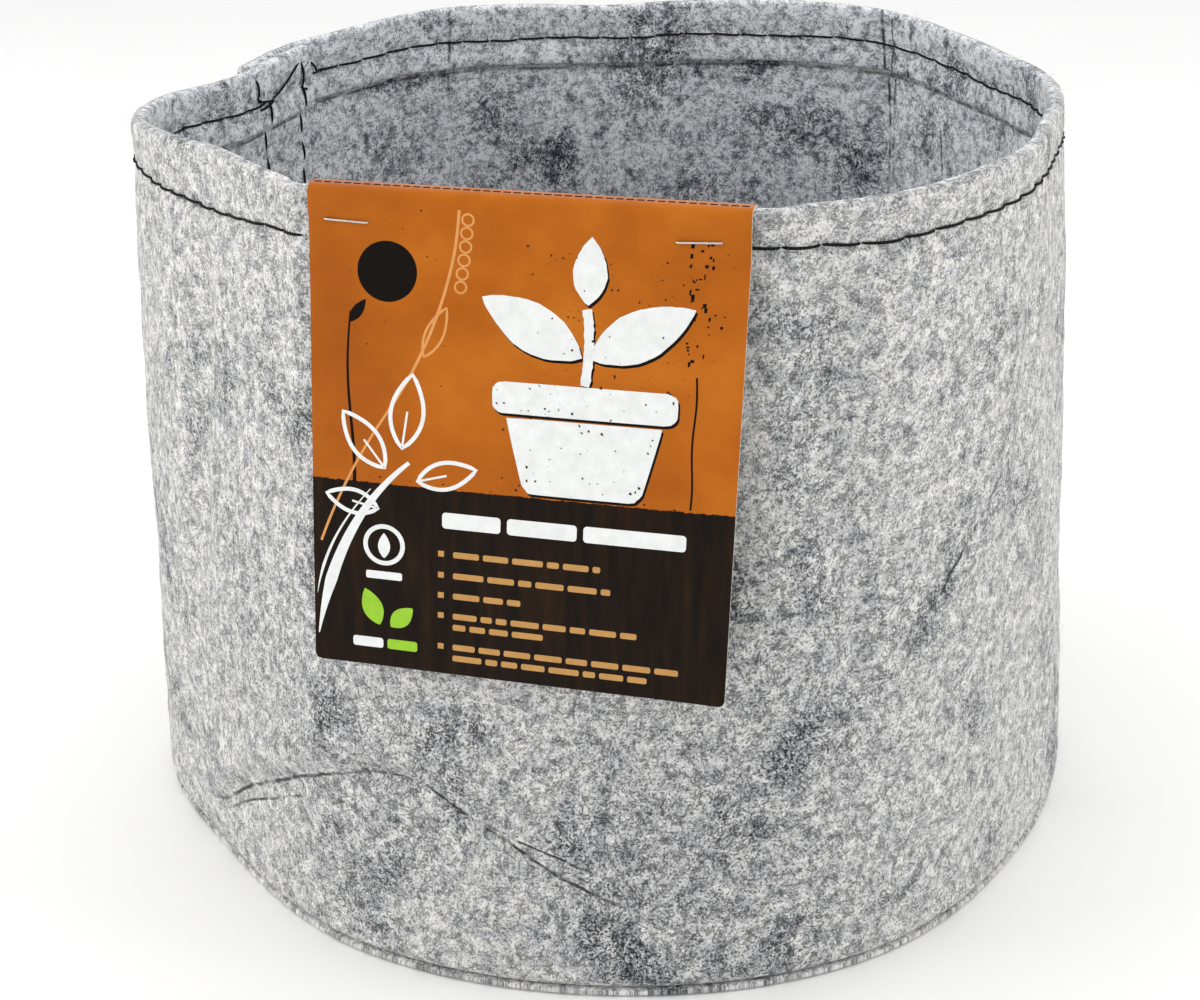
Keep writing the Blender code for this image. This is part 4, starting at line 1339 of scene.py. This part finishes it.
def make_staples():
    """Round steel wire, its crown pressed on to the card and its legs turned in behind the rim."""
    n = Nodes("bright staple wire")
    drawn = n.noise(n.mapping(n.uv(), 0, (900, 4, 1)), 1.0, 3, 0.6)
    steel = n.finish(
        n.ramp(drawn, (0.3, (0.48, 0.47, 0.46)), (0.7, (0.72, 0.71, 0.70))),
        n.range(drawn, 0.3, 0.7, 0.18, 0.34), n.bump(drawn, 0.3, 0.00005), Metallic=1.0,
    )
    for name, tilt in (("staple_left", -0.0002), ("staple_right", 0.0003)):
        centre = np.mean(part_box(name), axis=0) - FRONT_CREASE
        share_up = float(centre[2]) / CORNER_Z
        half = STAPLE_CROWN / 2 - STAPLE_WIRE_RADIUS
        back = FOLD_DEPTH * (1 - share_up) + 0.0092 * share_up + STAPLE_WIRE_RADIUS
        right = np.array((
            (0, -0.00025), (half * 0.6, -0.00028), (half - 0.0009, -0.0003),
            (half - 0.0003, -0.0001), (half, 0.0005), (half, back - 0.001),
            (half - 0.0002, back - 0.0002), (half - 0.0008, back + 0.0001),
            (half - 0.0042, back + 0.0003),
        ))
        across, inwards = np.concatenate((right[:0:-1] * (-1, 1), right)).T
        path = card_place(centre @ ALONG + across, inwards, centre[2] + tilt * across / half)
        points, faces, uvs = tube_mesh([path], [STAPLE_WIRE_RADIUS], 10)
        staple = new_mesh_object(f"{name}_wire", points, faces, "bag", uvs)
        staple.data.materials.append(steel)
        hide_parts(name)


# Loose fibres


def make_fuzz(wall, count):
    """Short loose fibres that stand out of the felt, each a thin closed tapered hair."""
    mesh = wall.data
    points = np.array([v.co for v in mesh.vertices])
    quads = [p for p in mesh.polygons if len(p.vertices) == 4]
    corner = np.array([tuple(p.vertices) for p in quads])
    a, b, c, d = (points[corner[:, k]] for k in range(4))
    cross = np.cross(c - a, d - b)
    area = np.linalg.norm(cross, axis=1) / 2
    normal = cross / (2 * area[:, None] + 1e-12)
    middle = (a + b + c + d) / 4
    turn = np.degrees(np.arctan2(middle[:, 0] - ORIGIN[0], -(middle[:, 1] - ORIGIN[1])))
    below_rim = rim_height(turn) - middle[:, 2]
    hidden = (under_card(turn) > 0.2) & (middle[:, 2] > CARD_LOWEST) & (normal[:, 1] < 0)
    weight = area * (1 + 9 * bell(below_rim, 0.004) + 3 * (middle[:, 2] < 0.012)) * ~hidden
    rng = np.random.default_rng(20)
    pick = rng.choice(len(weight), count, p=weight / weight.sum())
    u, v = rng.uniform(size=(2, count, 1))
    foot = (1 - u) * (1 - v) * a[pick] + u * (1 - v) * b[pick]
    foot = foot + u * v * c[pick] + (1 - u) * v * d[pick]
    out = normal[pick]
    drift = rng.normal(size=(count, 3))
    drift -= out * np.sum(drift * out, axis=1, keepdims=True)
    drift = unit(drift)
    second = np.cross(out, drift)
    length = rng.uniform(0.0016, 0.0046, (count, 1))
    stand = rng.uniform(0.12, 0.55, (count, 1))
    curl = rng.normal(0, 0.5, (count, 1))
    paths = [foot - 0.0004 * out]
    for share in (0.35, 0.7, 1.0):
        lift = stand * math.sin(share * 2.2) * 0.9
        paths.append(foot + length * (share * drift + lift * out + curl * share**2 * second * 0.6))
    paths = np.stack(paths, 1)
    paths[..., 2] = np.maximum(paths[..., 2], 0.0003)
    radius = 0.00003 * rng.uniform(0.7, 1.3, (count, 1, 1))
    turns = np.arange(3) * math.tau / 3
    ring = np.cos(turns)[:, None] * second[:, None] + np.sin(turns)[:, None] * out[:, None]
    rings = [paths[:, k, None] + ring * radius * width for k, width in enumerate((1.0, 0.9, 0.6))]
    hair = np.concatenate(rings + [paths[:, 3:4]], 1)
    one = [(0, 2, 1)]
    for k in (0, 3):
        one += [(k + j, k + (j + 1) % 3, k + 3 + (j + 1) % 3, k + 3 + j) for j in range(3)]
    one += [(6 + j, 6 + (j + 1) % 3, 9) for j in range(3)]
    faces = [tuple(i + 10 * h for i in face) for h in range(count) for face in one]
    shade = np.repeat(rng.uniform(size=count), 10)
    uvs = np.stack((shade, shade), -1)
    fuzz = new_mesh_object("felt_fuzz", hair.reshape(-1, 3), faces, "bag", uvs)
    n = Nodes("loose fibre")
    colour = n.ramp(
        n.split(n.uv())[0],
        (0.0, (0.05, 0.05, 0.055)), (0.16, (0.22, 0.22, 0.23)),
        (0.3, (0.60, 0.60, 0.59)), (1.0, (0.86, 0.85, 0.83)),
    )
    fuzz.data.materials.append(n.finish(colour, 0.8, Sheen_Weight=0.2))
    return fuzz


# Build


outer_felt = felt_material("heather grey felt")
wall = make_wall()
wall.data.materials.append(outer_felt)
base = make_base(outer_felt)
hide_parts("side_wall")
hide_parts("base_disc")

make_threads()
make_card()
make_staples()
fuzz = make_fuzz(wall, 5200)


# Floor, light and camera


def make_stage():
    floor = new_mesh_object(
        "floor", ((-3, -3, -0.0004), (3, -3, -0.0004), (3, 3, -0.0004), (-3, 3, -0.0004)),
        ((0, 1, 2, 3),), None,
    )
    n = Nodes("pale studio floor")
    soft = n.noise(n.made("ShaderNodeTexCoord", {}, "Object"), 3, dimensions="3D")
    colour = n.ramp(soft, (0.3, (0.90, 0.90, 0.90)), (0.7, (0.93, 0.93, 0.93)))
    floor.data.materials.append(n.finish(colour, 0.9, Specular_IOR_Level=0.1))


def area_light(name, place, target, size, power, colour=(1, 1, 1)):
    light = bpy.data.lights.new(name, "AREA")
    light.shape = "RECTANGLE"
    light.size, light.size_y = size
    light.energy = power
    light.color = colour
    obj = add_object(name, light)
    obj.location = place
    obj.rotation_euler = (Vector(target) - Vector(place)).to_track_quat("-Z", "Y").to_euler()


def make_lights():
    world = bpy.data.worlds.new("studio")
    bpy.context.scene.world = world
    world.use_nodes = True
    background = world.node_tree.nodes["Background"]
    background.inputs["Color"].default_value = (1, 1, 1, 1)
    background.inputs["Strength"].default_value = 0.95
    area_light("left box", (-1.25, -0.3, 0.75), (0, 0, 0.12), (0.9, 1.1), 7, (1.0, 0.975, 0.94))
    area_light("right box", (1.25, -0.2, 0.75), (0, 0, 0.12), (0.9, 1.1), 5, (1.0, 0.975, 0.94))
    area_light("top box", (0.05, 0.25, 1.5), (0, 0, 0.1), (1.4, 1.2), 3)


def make_camera():
    camera = bpy.data.cameras.new("camera")
    camera.lens = 67.44
    camera.sensor_width = 36
    obj = add_object("camera", camera)
    obj.location = (ORIGIN[0], -0.700 + ORIGIN[1], 0.38569)
    obj.rotation_euler = (math.radians(90 - 22.098), 0, math.radians(0.623))
    bpy.context.scene.camera = obj
    bpy.context.scene.view_settings.view_transform = "Standard"


make_stage()
make_lights()
make_camera()
